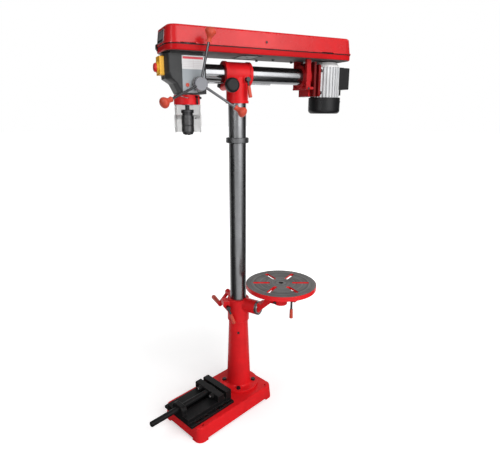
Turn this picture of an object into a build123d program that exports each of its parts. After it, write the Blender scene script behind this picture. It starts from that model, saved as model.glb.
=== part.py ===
from build123d import *
from math import asin, cos, pi, radians, sin
import os

# A floor-standing radial drilling machine, in millimetres.
# The origin is on the floor under the middle of the base, +Z is up and the base's vise end is towards -Y.
# Table pieces are drawn with the column's axis as Z and the table arm along +X, head pieces with the
# column's axis as Z and the spindle towards -Y. Each group is then set at its own swing about the column.

# Fits
RUN_FIT = 0.06        # radial clearance of a shaft that turns or slides in its bore
FREE_GAP = 0.4        # gap between faces that pass each other
SEAT_GAP = 0.3        # gap between faces that rest on each other and move apart

# Base
BASE_LENGTH = 452
BASE_WIDTH = 254
BASE_HEIGHT = 66
BASE_DRAFT = 6        # degrees
BASE_CORNER = 30
BASE_EDGE = 5
BASE_WALL = 9
BASE_TOP = 12
BASE_RIB = 8
FOOT_HEIGHT = 9
FOOT_LENGTH = 48
FLOOR_BOLT_X = 105    # half the spacing of the floor bolts
FLOOR_BOLT_Y = 190
FLOOR_BOLT_R = 6
FLOOR_BOSS_R = 14

# Pedestal and column
COLUMN_Y = 120        # the column's axis, behind the middle of the base
COLUMN_R = 36.3
COLUMN_WALL = 6
COLUMN_FOOT = 200     # height of the column's lower end, inside the pedestal
COLUMN_TOP = 1408
PEDESTAL_TOP = 400
PEDESTAL_TOP_R = 43.5
PEDESTAL_FOOT_R = 56
PEDESTAL_FILLET = 9
PEDESTAL_LEDGE = 8    # how far the seat under the column stands in
FLANGE_R = 90
FLANGE_HEIGHT = 12
FLANGE_BOLT_CIRCLE_R = 69
FLANGE_BOLTS = 4
FLANGE_BOLT_R = 5
FLANGE_BOLT_HEAD = 16     # across flats
FLANGE_BOLT_HEAD_HEIGHT = 6.4
FLANGE_WASHER_R = 10
FLANGE_WASHER = 1.6

# Table rack on the column, its ring, gear and crank
TOOTH_ADDENDUM = 0.85     # tooth sizes of every rack and gear, in modules
TOOTH_DEDENDUM = 1.15
TOOTH_TIP = 0.11          # half of a tooth's tip and root, as shares of the pitch
TOOTH_ROOT = 0.29
RING_DROP = 208
RING_BOTTOM = COLUMN_TOP - RING_DROP
RING_HEIGHT = 22
RING_R = 47
RING_RECESS = 8
RACK_ANGLE = 146.4        # degrees round the column from the table arm
RACK_WIDTH = 12
RACK_PITCH_R = 42.3       # from the column's axis to the rack's pitch line
LIFT_GEAR_TEETH = 12
LIFT_GEAR_R = 14.4
LIFT_GEAR_WIDTH = 13
LIFT_GEAR_PIN_R = 4
WORM_R = 6.4
CRANK_RISE = 84
CRANK_Z = PEDESTAL_TOP + CRANK_RISE
CRANK_SHAFT_R = 6.9
CRANK_ARM = 70
CRANK_ARM_ANGLE = -50     # degrees, seen from the shaft's outer end
CRANK_ARM_R = 8.5
CRANK_BOSS_R = 10
CRANK_HUB_R = 13
CRANK_HUB_WIDTH = 18
CRANK_GRIP = 78
CRANK_GRIP_R = 11

# Table bracket
BRACKET_GAP = 2
BRACKET_BOTTOM = PEDESTAL_TOP + BRACKET_GAP
BRACKET_HEIGHT = 106
BRACKET_TOP = BRACKET_BOTTOM + BRACKET_HEIGHT
BRACKET_R = 49
BRACKET_EDGE = 3
HOUSING_WALL = 8
HOUSING_BOSS = 34         # length of the boss round the crank's shaft
TILT_RISE = 80
TILT_Z = BRACKET_BOTTOM + TILT_RISE
TILT_BOSS_R = 31
TILT_BOSS_END = 99
TILT_PIN_R = 20
TILT_PIN_START = 50
TILT_RING = 14
LUG_ANGLE = -132          # clamp lug, degrees round the column from the table arm
LUG_REACH = 74
LUG_HALF = 21
LUG_RISE = 44
LUG_BOTTOM = BRACKET_BOTTOM + LUG_RISE
LUG_HEIGHT = 56
LUG_TOP = LUG_BOTTOM + LUG_HEIGHT
LUG_END = 24              # height of the lug's outer end
LUG_SLIT = 3
CLAMP_R = 54              # the clamp screw's distance from the column's axis
LUG_CLAMP_RISE = 28
CLAMP_Z = LUG_BOTTOM + LUG_CLAMP_RISE

# Clamp levers
STUD_R = 5
LEVER_HUB_R = 9
LEVER_HUB = 17
LEVER_ROD_R = 4.5
LEVER_GRIP_R = 6.6
LEVER_GRIP_TAPER = 1.2    # degrees
CLAMP_LEVER_ANGLE = 108   # each lever's direction in its own plane, in degrees
CLAMP_LEVER_LEAN = 22     # and its lean away from its seat
CLAMP_ROD = 30
CLAMP_GRIP = 44
TABLE_LEVER_ANGLE = -90
TABLE_LEVER_LEAN = 0
TABLE_ROD = 45
TABLE_GRIP = 41
RAM_LEVER_ANGLE = -84
RAM_LEVER_LEAN = 8
RAM_ROD = 24
RAM_GRIP = 45
RAM_STUD = 19

# Table arm and table
TABLE_REACH = 217         # from the column's axis to the table's axis
TABLE_SWING = 12.6        # degrees from +X
TABLE_R = 148
TABLE_RISE = 144
TABLE_TOP = TILT_Z + TABLE_RISE
TABLE_THICK = 20          # at the rim
TABLE_PLATE = 9           # at the slots
TABLE_RIM = 10
TABLE_HOLE_R = 10
TABLE_STEM_R = 18
TABLE_HUB_R = 46
TABLE_HUB = 6
TABLE_SLOTS = 6
TABLE_SLOT_ANGLE = 31.8
TABLE_SLOT_WIDTH = 16
TABLE_SLOT_IN = 46
TABLE_SLOT_OUT = 119
ARM_HUB_R = 28
ARM_HUB_DROP = 94
ARM_HUB_BOTTOM = TABLE_TOP - ARM_HUB_DROP
ARM_WIDTH = 46
ARM_ROOT = 45             # height of the arm where it leaves the tilt boss
ARM_EDGE = 8
TABLE_LUG_REACH = 76      # from the table's axis
TABLE_LUG_WIDTH = 34
TABLE_LUG_HEIGHT = 34
TABLE_CLAMP_REACH = 64
TABLE_CLAMP_RISE = 45
TABLE_CLAMP_Z = ARM_HUB_BOTTOM + TABLE_CLAMP_RISE

# Vise
VISE_X = -2
VISE_BACK = -2
VISE_LENGTH = 236
VISE_WIDTH = 192
VISE_FLANGE = 11
VISE_BED_WIDTH = 146
VISE_BED = 30
VISE_SLOT = 36
VISE_JAW_WIDTH = 158
VISE_JAW_RISE = 30
VISE_FIXED_JAW = 30
VISE_GAP = 12
VISE_JAW = 34
VISE_JAW_BOSS_R = 10.5
VISE_JAW_BOSS = 13
VISE_JAW_BOSS_X = 40
VISE_JAW_BOSS_RISE = 18
VISE_TONGUE = 22
VISE_BRIDGE = 24
VISE_BRIDGE_WIDTH = 74
VISE_SCREW_R = 11.5
VISE_SCREW_RISE = 14.5    # the screw's axis above the bed
VISE_SCREW_OUT = 130      # how far the screw stands out in front
VISE_SCREW_SEAT = 14
VISE_CROSS_HOLE_R = 4.5
VISE_CLAMP_SLOT = 74
VISE_CLAMP_SLOT_WIDTH = 11

# Column head and ram
HEAD_SWIVEL = -20.4       # degrees
RAM_RISE = 60
RAM_Z = COLUMN_TOP + RAM_RISE
RAM_R = 33.5
RAM_WALL = 8
RAM_FRONT = -178
RAM_BACK = 318
SOCKET_DEPTH = 51
SOCKET_BOTTOM = COLUMN_TOP - SOCKET_DEPTH
SOCKET_R = 44
SOCKET_RING_R = 46.5
SOCKET_RING = 10
SOCKET_ROOF = 1         # gap over the column's top
SLEEVE_FRONT = -62
SLEEVE_BACK = 50
SLEEVE_R = 45.5
SLEEVE_COLLAR_R = 48
SLEEVE_COLLAR = 11
RAM_RACK_WIDTH = 12
RAM_RACK_INSET = 53
RAM_RACK_FRONT = RAM_FRONT + RAM_RACK_INSET
RAM_RACK_SHORT = 168
RAM_RACK_BACK = RAM_BACK - RAM_RACK_SHORT
RAM_RACK_SINK = 4.5       # depth of the rack's keyway in the tube
RAM_PINION_TEETH = 10
RAM_PINION_R = 9
RAM_PINION_WIDTH = 12
RAM_PINION_Y = -50
RAM_PINION_DROP = 2.6     # from the tube's underside down to the rack's pitch line
RAM_SHAFT_R = 5.5
RAM_BOSS_R = 17
RAM_BOSS_LEFT = -27
RAM_BOSS_RIGHT = 57
RAM_KNOB_R = 27.5
RAM_KNOB = 26
RAM_KNOB_SEAT = 12
RAM_LOCK_Y = 20
RAM_LOCK_DROP = 22
RAM_LOCK_Z = RAM_Z - RAM_LOCK_DROP
RAM_LOCK_BOSS_R = 13
RAM_LOCK_BOSS_RIGHT = 50

# Drill head
SPINDLE_Y = -210
HEAD_HALF = 60
HEAD_OUT = 90
HEAD_FRONT = SPINDLE_Y - HEAD_OUT
HEAD_BEHIND = 60
HEAD_REAR = SPINDLE_Y + HEAD_BEHIND
HEAD_DROP = 80
HEAD_BOTTOM = RAM_Z - HEAD_DROP
HEAD_RISE = 58
HEAD_TOP = RAM_Z + HEAD_RISE
HEAD_NOSE = ((0, 56, 28, 48), (36, 37, 30, 29), (52, 20, 30, 2), (74, 10, 30, 0))
# The front's outlines from the bottom up: height over the bottom, set back of the sides, half width of the
# flat nose and the nose's own set back.
HEAD_EDGE = 6
HEAD_NECK_INSET = 9
QUILL_R = 21
QUILL_BORE_R = 12
QUILL_OUT = 40
QUILL_BOTTOM = HEAD_BOTTOM - QUILL_OUT
QUILL_ROOM = 16
QUILL_TOP = HEAD_TOP - QUILL_ROOM
QUILL_RACK_RISE = 16
QUILL_RACK_BOTTOM = HEAD_BOTTOM + QUILL_RACK_RISE
QUILL_RACK_R = 19.4       # from the spindle's axis to the quill rack's pitch line
BEARING_R = 15
BEARING = 12
SPINDLE_R = 9
SPINDLE_COLLAR_R = 11.4
SPINDLE_COLLAR = 6
SPINDLE_NOSE_R = 8.5
SPINDLE_RISE = 78
SPINDLE_TOP = HEAD_TOP + SPINDLE_RISE
ARBOR_R = 8
ARBOR = 26
FEED_RISE = 34
FEED_Z = HEAD_BOTTOM + FEED_RISE
FEED_TEETH = 10
FEED_PINION_R = 8.6
FEED_PINION_WIDTH = 19
FEED_SHAFT_R = 9
FEED_SHAFT_RIGHT = 90
DIAL_LEFT = 62.5
DIAL = 8
DIAL_R = 27
HUB_LEFT = 71
HUB_RIGHT = 97
HUB_R = 24.5
SPOKES = 3
SPOKE_ANGLE = 84
SPOKE_LEAN = 22           # degrees outwards from the hub's plane
SPOKE_ROOT_X = 84
SPOKE_R = 4.7
SPOKE_START = 15
SPOKE_END = 176
KNOB_GRIP = 26
KNOB_START = SPOKE_END - KNOB_GRIP
KNOB_NECK_R = 10
KNOB_HEAD_R = 19
KNOB_NOSE = 22
KNOB_END = SPOKE_END + KNOB_NOSE
SPRING_CAP_R = 34
SPRING_CAP = 27
SPRING_CAP_WALL = 3

# Chuck
CHUCK_GAP = 16
CHUCK_TOP = QUILL_BOTTOM - CHUCK_GAP
CHUCK_FLANGE_R = 24.5
CHUCK_FLANGE = 13
CHUCK_NECK_R = 20.5
CHUCK_NECK = 8
CHUCK_CORE_R = 17
CHUCK_CORE_HEIGHT = 86
CHUCK_CORE_BOTTOM = CHUCK_TOP - CHUCK_CORE_HEIGHT
CHUCK_BORE_R = 9
CHUCK_SLEEVE_R = 24
CHUCK_SLEEVE_LIP = 8
CHUCK_SLEEVE_BOTTOM = CHUCK_CORE_BOTTOM - CHUCK_SLEEVE_LIP
CHUCK_SLEEVE_LAND = 16
CHUCK_SLEEVE_WALL = 4.6
CHUCK_MOUTH_R = 14.3
CHUCK_NOSE_R = 18.5
CHUCK_NOSE = 12
CHUCK_GROOVE = 1.4
JAWS = 3
JAW_R = 4.5
JAW_LEAN = 10             # degrees from the chuck's axis
JAW_LENGTH = 38
JAW_OUT = 2
JAW_TIP = CHUCK_SLEEVE_BOTTOM - JAW_OUT
JAW_GRIP_R = 5            # radius of the shank that the jaws stand open for

# Chuck guard
GUARD_COLLAR_R = 50
GUARD_GAP = 3
GUARD_COLLAR_TOP = HEAD_BOTTOM - GUARD_GAP
GUARD_COLLAR_HEIGHT = 35
GUARD_COLLAR_BOTTOM = GUARD_COLLAR_TOP - GUARD_COLLAR_HEIGHT
GUARD_COLLAR_ROOF = 8
GUARD_COLLAR_SKIRT = 4
GUARD_HUB_R = 31
GUARD_WALL = 2
GUARD_SWING = -23.5       # degrees that the guard is swung round the spindle
GUARD_INSIDE = 45
GUARD_REACH = 12          # how far the side walls pass the spindle's axis
GUARD_UPPER_DROP = 54
GUARD_UPPER_BOTTOM = GUARD_COLLAR_BOTTOM - GUARD_UPPER_DROP
GUARD_OVERLAP = 16
GUARD_LOWER_TOP = GUARD_UPPER_BOTTOM + GUARD_OVERLAP
GUARD_LOWER_HEIGHT = 67
GUARD_LOWER_BOTTOM = GUARD_LOWER_TOP - GUARD_LOWER_HEIGHT

# Belt housing
COVER_HALF = 94
COVER_OUT = 93
COVER_FRONT = SPINDLE_Y - COVER_OUT
COVER_BEHIND = 179
COVER_BACK = RAM_BACK + COVER_BEHIND
COVER_CORNER = 42
HEAD_NECK = 8
COVER_BOTTOM = HEAD_TOP + HEAD_NECK
TRAY_DEPTH = 23
COVER_SPLIT = COVER_BOTTOM + TRAY_DEPTH
LID_DEPTH = 63
COVER_TOP = COVER_SPLIT + LID_DEPTH
COVER_WALL = 3
COVER_DRAFT = 7           # degrees
COVER_EDGE = 9
LID_LIP = 3
LID_LIP_HEIGHT = 4
LID_NOTCH = 2.4
LID_NOTCH_LENGTH = 56
LID_NOTCH_INSET = (75, 135)   # of the front and the rear notch
LID_NOTCH_Y = (COVER_FRONT + LID_NOTCH_INSET[0], COVER_BACK - LID_NOTCH_INSET[1])
HINGE_INSET = (133, 167)
HINGE_Y = (COVER_FRONT + HINGE_INSET[0], COVER_BACK - HINGE_INSET[1])
HINGE_R = 3.2
HINGE_PIN_R = 1.6
HINGE_KNUCKLE = 16
HINGE_LEAF = 8

# Belt drive
PULLEY_RISE = 9
PULLEY_BOTTOM = COVER_BOTTOM + PULLEY_RISE
PULLEY_STEPS = 5
PULLEY_STEP = 13
SPINDLE_PULLEY_R = 56     # smallest step of the spindle pulley
MOTOR_PULLEY_R = 19       # smallest step of the motor pulley
STEP_RISE = 6.5
BELT_STEP = 2             # the step that carries the belt, counted from the bottom
BELT_TOP_WIDTH = 10
BELT_BOTTOM_WIDTH = 6.4
BELT_HEIGHT = 8
BELT_SINK = 0.5           # the belt's back below the pulley's rim
GROOVE_GAP = 0.35
PULLEY_SLEEVE_R = 17
PULLEY_SLEEVE_DROP = 20
PULLEY_SLEEVE_BOTTOM = COVER_BOTTOM - PULLEY_SLEEVE_DROP

# Motor and its mount
MOTOR_REACH = 103
MOTOR_Y = RAM_BACK + MOTOR_REACH
MOTOR_SLACK = 8           # travel of the motor plate
MOUNT_AHEAD = 23
MOUNT_FRONT = RAM_BACK - MOUNT_AHEAD
MOUNT_BEHIND = 17
MOUNT_BACK = RAM_BACK + MOUNT_BEHIND
MOUNT_COLLAR_R = 47
MOUNT_COLLAR_OUT = 7
MOUNT_COLLAR_FRONT = MOUNT_FRONT - MOUNT_COLLAR_OUT
MOUNT_HALF = 60
MOUNT_PLATE = 10
MOUNT_CHEEK = 14
MOUNT_RIB = 20
MOUNT_SHELF_DROP = 52
MOUNT_SHELF_BOTTOM = RAM_Z - MOUNT_SHELF_DROP
MOUNT_SHELF = 10
MOUNT_BOX_HALF = 36
MOUNT_BOX_INSET = 18
MOUNT_BOX_FRONT = MOUNT_FRONT + MOUNT_BOX_INSET
MOUNT_DROP = 80
MOUNT_BOTTOM = RAM_Z - MOUNT_DROP
ROD_X = 24
ROD_RISE = 14
ROD_Z = MOUNT_BOTTOM + ROD_RISE
ROD_R = 7
ROD_IN = 12               # length of each rod inside the mount
PLATE = 10
PLATE_HALF = 68
PLATE_BOTTOM = MOUNT_BOTTOM
PLATE_HEIGHT = 128
PLATE_TOP = PLATE_BOTTOM + PLATE_HEIGHT
MOTOR_R = 57
MOTOR_FIN_R = 62.5
MOTOR_FINS = 28
MOTOR_FIN = 3
MOTOR_DROP = 91
MOTOR_BOTTOM = RAM_Z - MOTOR_DROP
MOTOR_HEIGHT = 132
MOTOR_TOP = MOTOR_BOTTOM + MOTOR_HEIGHT
MOTOR_BELL_GAP = 4
MOTOR_BELL_TOP = COVER_BOTTOM - MOTOR_BELL_GAP
MOTOR_BELL_R = 45
MOTOR_BORE_R = 42
MOTOR_RIM = 8
MOTOR_PAD_HALF = 40
MOTOR_PAD_RISE = 21
MOTOR_PAD_BOTTOM = MOTOR_BOTTOM + MOTOR_PAD_RISE
FAN_COVER_R = 69
FAN_COVER_DROP = 60
FAN_COVER_BOTTOM = MOTOR_BOTTOM - FAN_COVER_DROP
FAN_COVER_WALL = 2.5
FAN_COVER_EDGE = 15
FAN_SLOTS = 12
FAN_R = 56
FAN_BLADES = 9
MOTOR_SHAFT_R = 9.5
ROTOR_R = 38
BOX_HALF = 40
BOX_REACH = 100
BOX_BACK = MOTOR_Y + BOX_REACH
BOX_DEPTH = 33
BOX_FRONT = BOX_BACK - BOX_DEPTH
BOX_RISE = 43
BOX_BOTTOM = MOTOR_BOTTOM + BOX_RISE
BOX_HEIGHT = 90
BOX_TOP = BOX_BOTTOM + BOX_HEIGHT
BOX_EDGE = 4
GLAND_R = 7
GLAND = 24

# Switch
SWITCH_LEFT = -27
SWITCH_RIGHT = 27
SWITCH_RISE = 65
SWITCH_BOTTOM = HEAD_BOTTOM + SWITCH_RISE
SWITCH_HEIGHT = 66
SWITCH_TOP = SWITCH_BOTTOM + SWITCH_HEIGHT
SWITCH_DEPTH = 8
FLAP = 8
FLAP_WALL = 2.5
FLAP_HINGE_R = 2.5
STOP_RISE = 27
STOP_Z = SWITCH_BOTTOM + STOP_RISE
STOP_R = 16
STOP_HEAD = 12
STOP_STEM_R = 8
STOP_TRAVEL = 4
START_RISE = 25
START_Z = STOP_Z + START_RISE
START_R = 7
START_OUT = 2
START_DEPTH = 4.5


# Planes and plain shapes

def level(z):
    """Level plane at height z."""
    return Plane.XY.offset(z)


def side_on(x):
    """Upright plane across X: its own axes are Y and Z."""
    return Plane.YZ.offset(x)


def end_on(y):
    """Upright plane across Y, facing the front: its own axes are X and Z."""
    return Plane.XZ.offset(-y)


def radial(angle, z=0.0):
    """Upright plane through the Z axis: its own axes are the radius at that angle and Z."""
    a = radians(angle)
    return Plane(origin=(0, 0, z), x_dir=(cos(a), sin(a), 0), z_dir=(sin(a), -cos(a), 0))


def out_along(angle, reach, z):
    """Upright plane that faces straight out from the Z axis, at that reach."""
    a = radians(angle)
    d = (cos(a), sin(a), 0)
    return Plane(origin=(reach * d[0], reach * d[1], z), x_dir=(-d[1], d[0], 0), z_dir=d)


def post(radius, low, high, y=0.0, x=0.0, mode=Mode.ADD):
    """Upright round bar."""
    with BuildSketch(level(low)) as face:
        with Locations((x, y)):
            Circle(radius)
    extrude(face.sketch, amount=high - low, mode=mode)


def cross_bar(radius, left, right, y, z, mode=Mode.ADD):
    """Round bar along X."""
    with BuildSketch(side_on(left)) as face:
        with Locations((y, z)):
            Circle(radius)
    extrude(face.sketch, amount=right - left, mode=mode)


def long_bar(radius, front, back, z, x=0.0, mode=Mode.ADD):
    """Round bar along Y."""
    with BuildSketch(end_on(back)) as face:
        with Locations((x, z)):
            Circle(radius)
    extrude(face.sketch, amount=back - front, mode=mode)


def block(x, y, z, mode=Mode.ADD):
    """Square block between two values each way."""
    with BuildSketch(level(z[0])) as face:
        with Locations(((x[0] + x[1]) / 2, (y[0] + y[1]) / 2)):
            Rectangle(x[1] - x[0], y[1] - y[0])
    extrude(face.sketch, amount=z[1] - z[0], mode=mode)


def turn(points, y=0.0, mode=Mode.ADD):
    """Turns (radius, height) points about the upright axis at y."""
    with BuildSketch(end_on(y)) as face:
        with BuildLine():
            Polyline(*points, close=True)
        make_face()
    revolve(face.sketch, axis=Axis((0, y, 0), (0, 0, 1)), mode=mode)


# Teeth

def wheel_points(teeth, pitch_r, start):
    """Outline of a toothed wheel with the middle of a tooth at the start angle, in degrees."""
    module = 2 * pitch_r / teeth
    tip = pitch_r + TOOTH_ADDENDUM * module
    root = pitch_r - TOOTH_DEDENDUM * module
    corners = ((root, -TOOTH_ROOT), (tip, -TOOTH_TIP), (tip, TOOTH_TIP), (root, TOOTH_ROOT))
    points = []
    for tooth in range(teeth):
        for radius, share in corners:
            angle = radians(start) + 2 * pi * (tooth + share) / teeth
            points.append((radius * cos(angle), radius * sin(angle)))
    return points


def rack_points(low, high, gap_at, module):
    """Outline of a rack's teeth as (place, height over the pitch line), with a gap's middle at gap_at."""
    pitch = pi * module
    tip = TOOTH_ADDENDUM * module
    root = -TOOTH_DEDENDUM * module
    corners = ((root, -TOOTH_ROOT), (tip, -TOOTH_TIP), (tip, TOOTH_TIP), (root, TOOTH_ROOT))
    points = [(low, root)]
    tooth = int((low - gap_at) / pitch) - 1
    while gap_at + (tooth + 0.5 + TOOTH_ROOT) * pitch < high:
        if gap_at + (tooth + 0.5 - TOOTH_ROOT) * pitch > low:
            middle = gap_at + (tooth + 0.5) * pitch
            points += [(middle + share * pitch, height) for height, share in corners]
        tooth += 1
    return points + [(high, root)]


# Levers: a stud, hub and rod, and the grip on the rod's end

def rod_plane(seat, angle, lean, start):
    """Plane across a lever's rod that leans away from its seat, at a distance from the hub's axis."""
    across = seat.x_dir * cos(radians(angle)) + seat.y_dir * sin(radians(angle))
    way = across * cos(radians(lean)) + seat.z_dir * sin(radians(lean))
    return Plane(origin=seat.origin + seat.z_dir * (LEVER_HUB / 2) + way * start, z_dir=way)


def clamp_lever(seat, stud, angle, lean, reach):
    """Lever on a stud that runs back from the seat plane."""
    with BuildSketch(seat) as stud_face:
        Circle(STUD_R)
    extrude(stud_face.sketch, amount=-stud)
    with BuildSketch(seat) as hub_face:
        Circle(LEVER_HUB_R)
    extrude(hub_face.sketch, amount=LEVER_HUB)
    with BuildSketch(rod_plane(seat, angle, lean, 0)) as rod_face:
        Circle(LEVER_ROD_R)
    extrude(rod_face.sketch, amount=reach)


def lever_grip(seat, angle, lean, start, length):
    """Tapered grip that starts where the lever's rod ends."""
    with BuildSketch(rod_plane(seat, angle, lean, start)) as grip_foot:
        Circle(LEVER_GRIP_R)
    grip = extrude(grip_foot.sketch, amount=length, taper=-LEVER_GRIP_TAPER)
    fillet(grip.edges().filter_by(GeomType.CIRCLE), LEVER_GRIP_R / 3)


# Base, pedestal and column

with BuildPart() as base_casting:
    with BuildSketch(level(0)):
        RectangleRounded(BASE_WIDTH, BASE_LENGTH, BASE_CORNER)
    extrude(amount=BASE_HEIGHT, taper=BASE_DRAFT)
    fillet(base_casting.faces().sort_by(Axis.Z)[-1].edges(), BASE_EDGE)
    inner_width = BASE_WIDTH - 2 * BASE_WALL
    inner_length = BASE_LENGTH - 2 * BASE_WALL
    under_top = BASE_HEIGHT - BASE_TOP
    with BuildSketch(level(0)):
        RectangleRounded(inner_width, inner_length, BASE_CORNER - BASE_WALL)
    extrude(amount=under_top, taper=BASE_DRAFT, mode=Mode.SUBTRACT)
    with BuildSketch(level(FOOT_HEIGHT)):
        Rectangle(BASE_RIB, inner_length)
        with GridLocations(0, inner_length / 3, 1, 2):
            Rectangle(inner_width, BASE_RIB)
    extrude(amount=under_top - FOOT_HEIGHT)
    with BuildSketch(level(0)):
        Rectangle(BASE_WIDTH - 2 * FOOT_LENGTH, BASE_LENGTH)
        Rectangle(BASE_WIDTH, BASE_LENGTH - 2 * FOOT_LENGTH)
    extrude(amount=FOOT_HEIGHT, mode=Mode.SUBTRACT)
    with BuildSketch(level(0)):
        with GridLocations(2 * FLOOR_BOLT_X, 2 * FLOOR_BOLT_Y, 2, 2):
            Circle(FLOOR_BOSS_R)
    extrude(amount=under_top)
    with BuildSketch(level(0)):
        with GridLocations(2 * FLOOR_BOLT_X, 2 * FLOOR_BOLT_Y, 2, 2):
            Circle(FLOOR_BOLT_R)
        with Locations((0, COLUMN_Y)):
            with PolarLocations(FLANGE_BOLT_CIRCLE_R, FLANGE_BOLTS, start_angle=45):
                Circle(FLANGE_BOLT_R)
    extrude(amount=BASE_HEIGHT, mode=Mode.SUBTRACT)

flange_top = BASE_HEIGHT + FLANGE_HEIGHT

with BuildPart() as pedestal:
    seat_r = COLUMN_R - PEDESTAL_LEDGE
    turn([(seat_r, BASE_HEIGHT), (FLANGE_R, BASE_HEIGHT), (FLANGE_R, flange_top),
          (PEDESTAL_FOOT_R, flange_top), (PEDESTAL_TOP_R, PEDESTAL_TOP), (COLUMN_R, PEDESTAL_TOP),
          (COLUMN_R, COLUMN_FOOT), (seat_r, COLUMN_FOOT)], y=COLUMN_Y)
    fillet(pedestal.edges().filter_by(GeomType.CIRCLE).group_by(Axis.Z)[1].sort_by(SortBy.RADIUS)[0],
           PEDESTAL_FILLET)
    fillet(pedestal.edges().filter_by(GeomType.CIRCLE).sort_by(SortBy.RADIUS)[-1], FLANGE_HEIGHT / 4)
    with BuildSketch(level(BASE_HEIGHT)):
        with Locations((0, COLUMN_Y)):
            with PolarLocations(FLANGE_BOLT_CIRCLE_R, FLANGE_BOLTS, start_angle=45):
                Circle(FLANGE_BOLT_R)
    extrude(amount=FLANGE_HEIGHT, mode=Mode.SUBTRACT)
    with BuildSketch(level(flange_top)):
        with Locations((0, COLUMN_Y)):
            with PolarLocations(FLANGE_BOLT_CIRCLE_R, FLANGE_BOLTS, start_angle=45):
                Circle(FLANGE_WASHER_R + FREE_GAP)
    extrude(amount=FLANGE_HEIGHT, mode=Mode.SUBTRACT)

with BuildPart() as pedestal_bolts:
    with BuildSketch(level(BASE_HEIGHT - BASE_TOP)):
        with Locations((0, COLUMN_Y)):
            with PolarLocations(FLANGE_BOLT_CIRCLE_R, FLANGE_BOLTS, start_angle=45):
                Circle(FLANGE_BOLT_R)
    extrude(amount=BASE_TOP + FLANGE_HEIGHT)
    with BuildSketch(level(flange_top)):
        with Locations((0, COLUMN_Y)):
            with PolarLocations(FLANGE_BOLT_CIRCLE_R, FLANGE_BOLTS, start_angle=45):
                Circle(FLANGE_WASHER_R)
    extrude(amount=FLANGE_WASHER)
    with BuildSketch(level(flange_top + FLANGE_WASHER)):
        with Locations((0, COLUMN_Y)):
            with PolarLocations(FLANGE_BOLT_CIRCLE_R, FLANGE_BOLTS, start_angle=45):
                RegularPolygon(FLANGE_BOLT_HEAD / 2, 6, major_radius=False)
    extrude(amount=FLANGE_BOLT_HEAD_HEIGHT)

with BuildPart() as column_tube:
    post(COLUMN_R, COLUMN_FOOT, COLUMN_TOP, COLUMN_Y)
    post(COLUMN_R - COLUMN_WALL, COLUMN_FOOT, COLUMN_TOP, COLUMN_Y, mode=Mode.SUBTRACT)

rack_module = 2 * LIFT_GEAR_R / LIFT_GEAR_TEETH
rack_tip_r = RACK_PITCH_R + TOOTH_ADDENDUM * rack_module

with BuildPart() as rack_ring:
    post(RING_R, RING_BOTTOM, RING_BOTTOM + RING_HEIGHT, COLUMN_Y)
    fillet(rack_ring.edges().filter_by(GeomType.CIRCLE), RING_HEIGHT / 7)
    post(COLUMN_R, RING_BOTTOM, RING_BOTTOM + RING_HEIGHT, COLUMN_Y, mode=Mode.SUBTRACT)
    post(rack_tip_r + FREE_GAP, RING_BOTTOM, RING_BOTTOM + RING_RECESS, COLUMN_Y, mode=Mode.SUBTRACT)

# Vise on the base

bed_top = BASE_HEIGHT + VISE_BED
vise_front = VISE_BACK - VISE_LENGTH
vise_middle = (VISE_BACK + vise_front) / 2
screw_z = bed_top + VISE_SCREW_RISE
fixed_face = VISE_BACK - VISE_FIXED_JAW
jaw_back = fixed_face - VISE_GAP
jaw_front = jaw_back - VISE_JAW
slot_front = vise_front + VISE_BRIDGE
jaw_top = bed_top + VISE_JAW_RISE


def vise_span(width):
    """Left and right sides of a piece of that width on the vise."""
    return (VISE_X - width / 2, VISE_X + width / 2)


with BuildPart() as vise_body:
    block(vise_span(VISE_WIDTH), (vise_front, VISE_BACK), (BASE_HEIGHT, BASE_HEIGHT + VISE_FLANGE))
    with BuildSketch(level(BASE_HEIGHT)):
        with Locations((VISE_X, vise_middle)):
            with GridLocations((VISE_WIDTH + VISE_BED_WIDTH) / 2, VISE_LENGTH / 2, 2, 2):
                SlotOverall(VISE_CLAMP_SLOT, VISE_CLAMP_SLOT_WIDTH, rotation=90)
    extrude(amount=VISE_FLANGE, mode=Mode.SUBTRACT)
    block(vise_span(VISE_BED_WIDTH), (vise_front, VISE_BACK), (BASE_HEIGHT, bed_top))
    block(vise_span(VISE_SLOT), (slot_front, fixed_face), (BASE_HEIGHT, bed_top), mode=Mode.SUBTRACT)
    block(vise_span(VISE_JAW_WIDTH), (fixed_face, VISE_BACK), (BASE_HEIGHT + VISE_FLANGE, jaw_top))
    with BuildSketch(end_on(slot_front)):
        with Locations((VISE_X, screw_z)):
            SlotOverall(VISE_BRIDGE_WIDTH, 3.4 * VISE_SCREW_R)
        with Locations((VISE_X, (BASE_HEIGHT + screw_z) / 2)):
            Rectangle(VISE_BRIDGE_WIDTH, screw_z - BASE_HEIGHT)
    extrude(amount=VISE_BRIDGE)
    long_bar(VISE_SCREW_R + RUN_FIT, vise_front, slot_front, screw_z, VISE_X, mode=Mode.SUBTRACT)
    chamfer(vise_body.edges().filter_by(Axis.X).group_by(Axis.Z)[-1], VISE_JAW_RISE / 12)

with BuildPart() as vise_jaw:
    block(vise_span(VISE_JAW_WIDTH), (jaw_front, jaw_back), (bed_top + SEAT_GAP, jaw_top))
    chamfer(vise_jaw.edges().filter_by(Axis.X).group_by(Axis.Z)[-1], VISE_JAW_RISE / 12)
    block(vise_span(VISE_SLOT - 2 * FREE_GAP), (jaw_front, jaw_back), (bed_top - VISE_TONGUE, jaw_top))
    for side in (-1, 1):
        long_bar(VISE_JAW_BOSS_R, jaw_front - VISE_JAW_BOSS, jaw_front, bed_top + VISE_JAW_BOSS_RISE,
                 VISE_X + side * VISE_JAW_BOSS_X)
    long_bar(VISE_SCREW_R + RUN_FIT, jaw_front, jaw_front + VISE_SCREW_SEAT, screw_z, VISE_X,
             mode=Mode.SUBTRACT)

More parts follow.
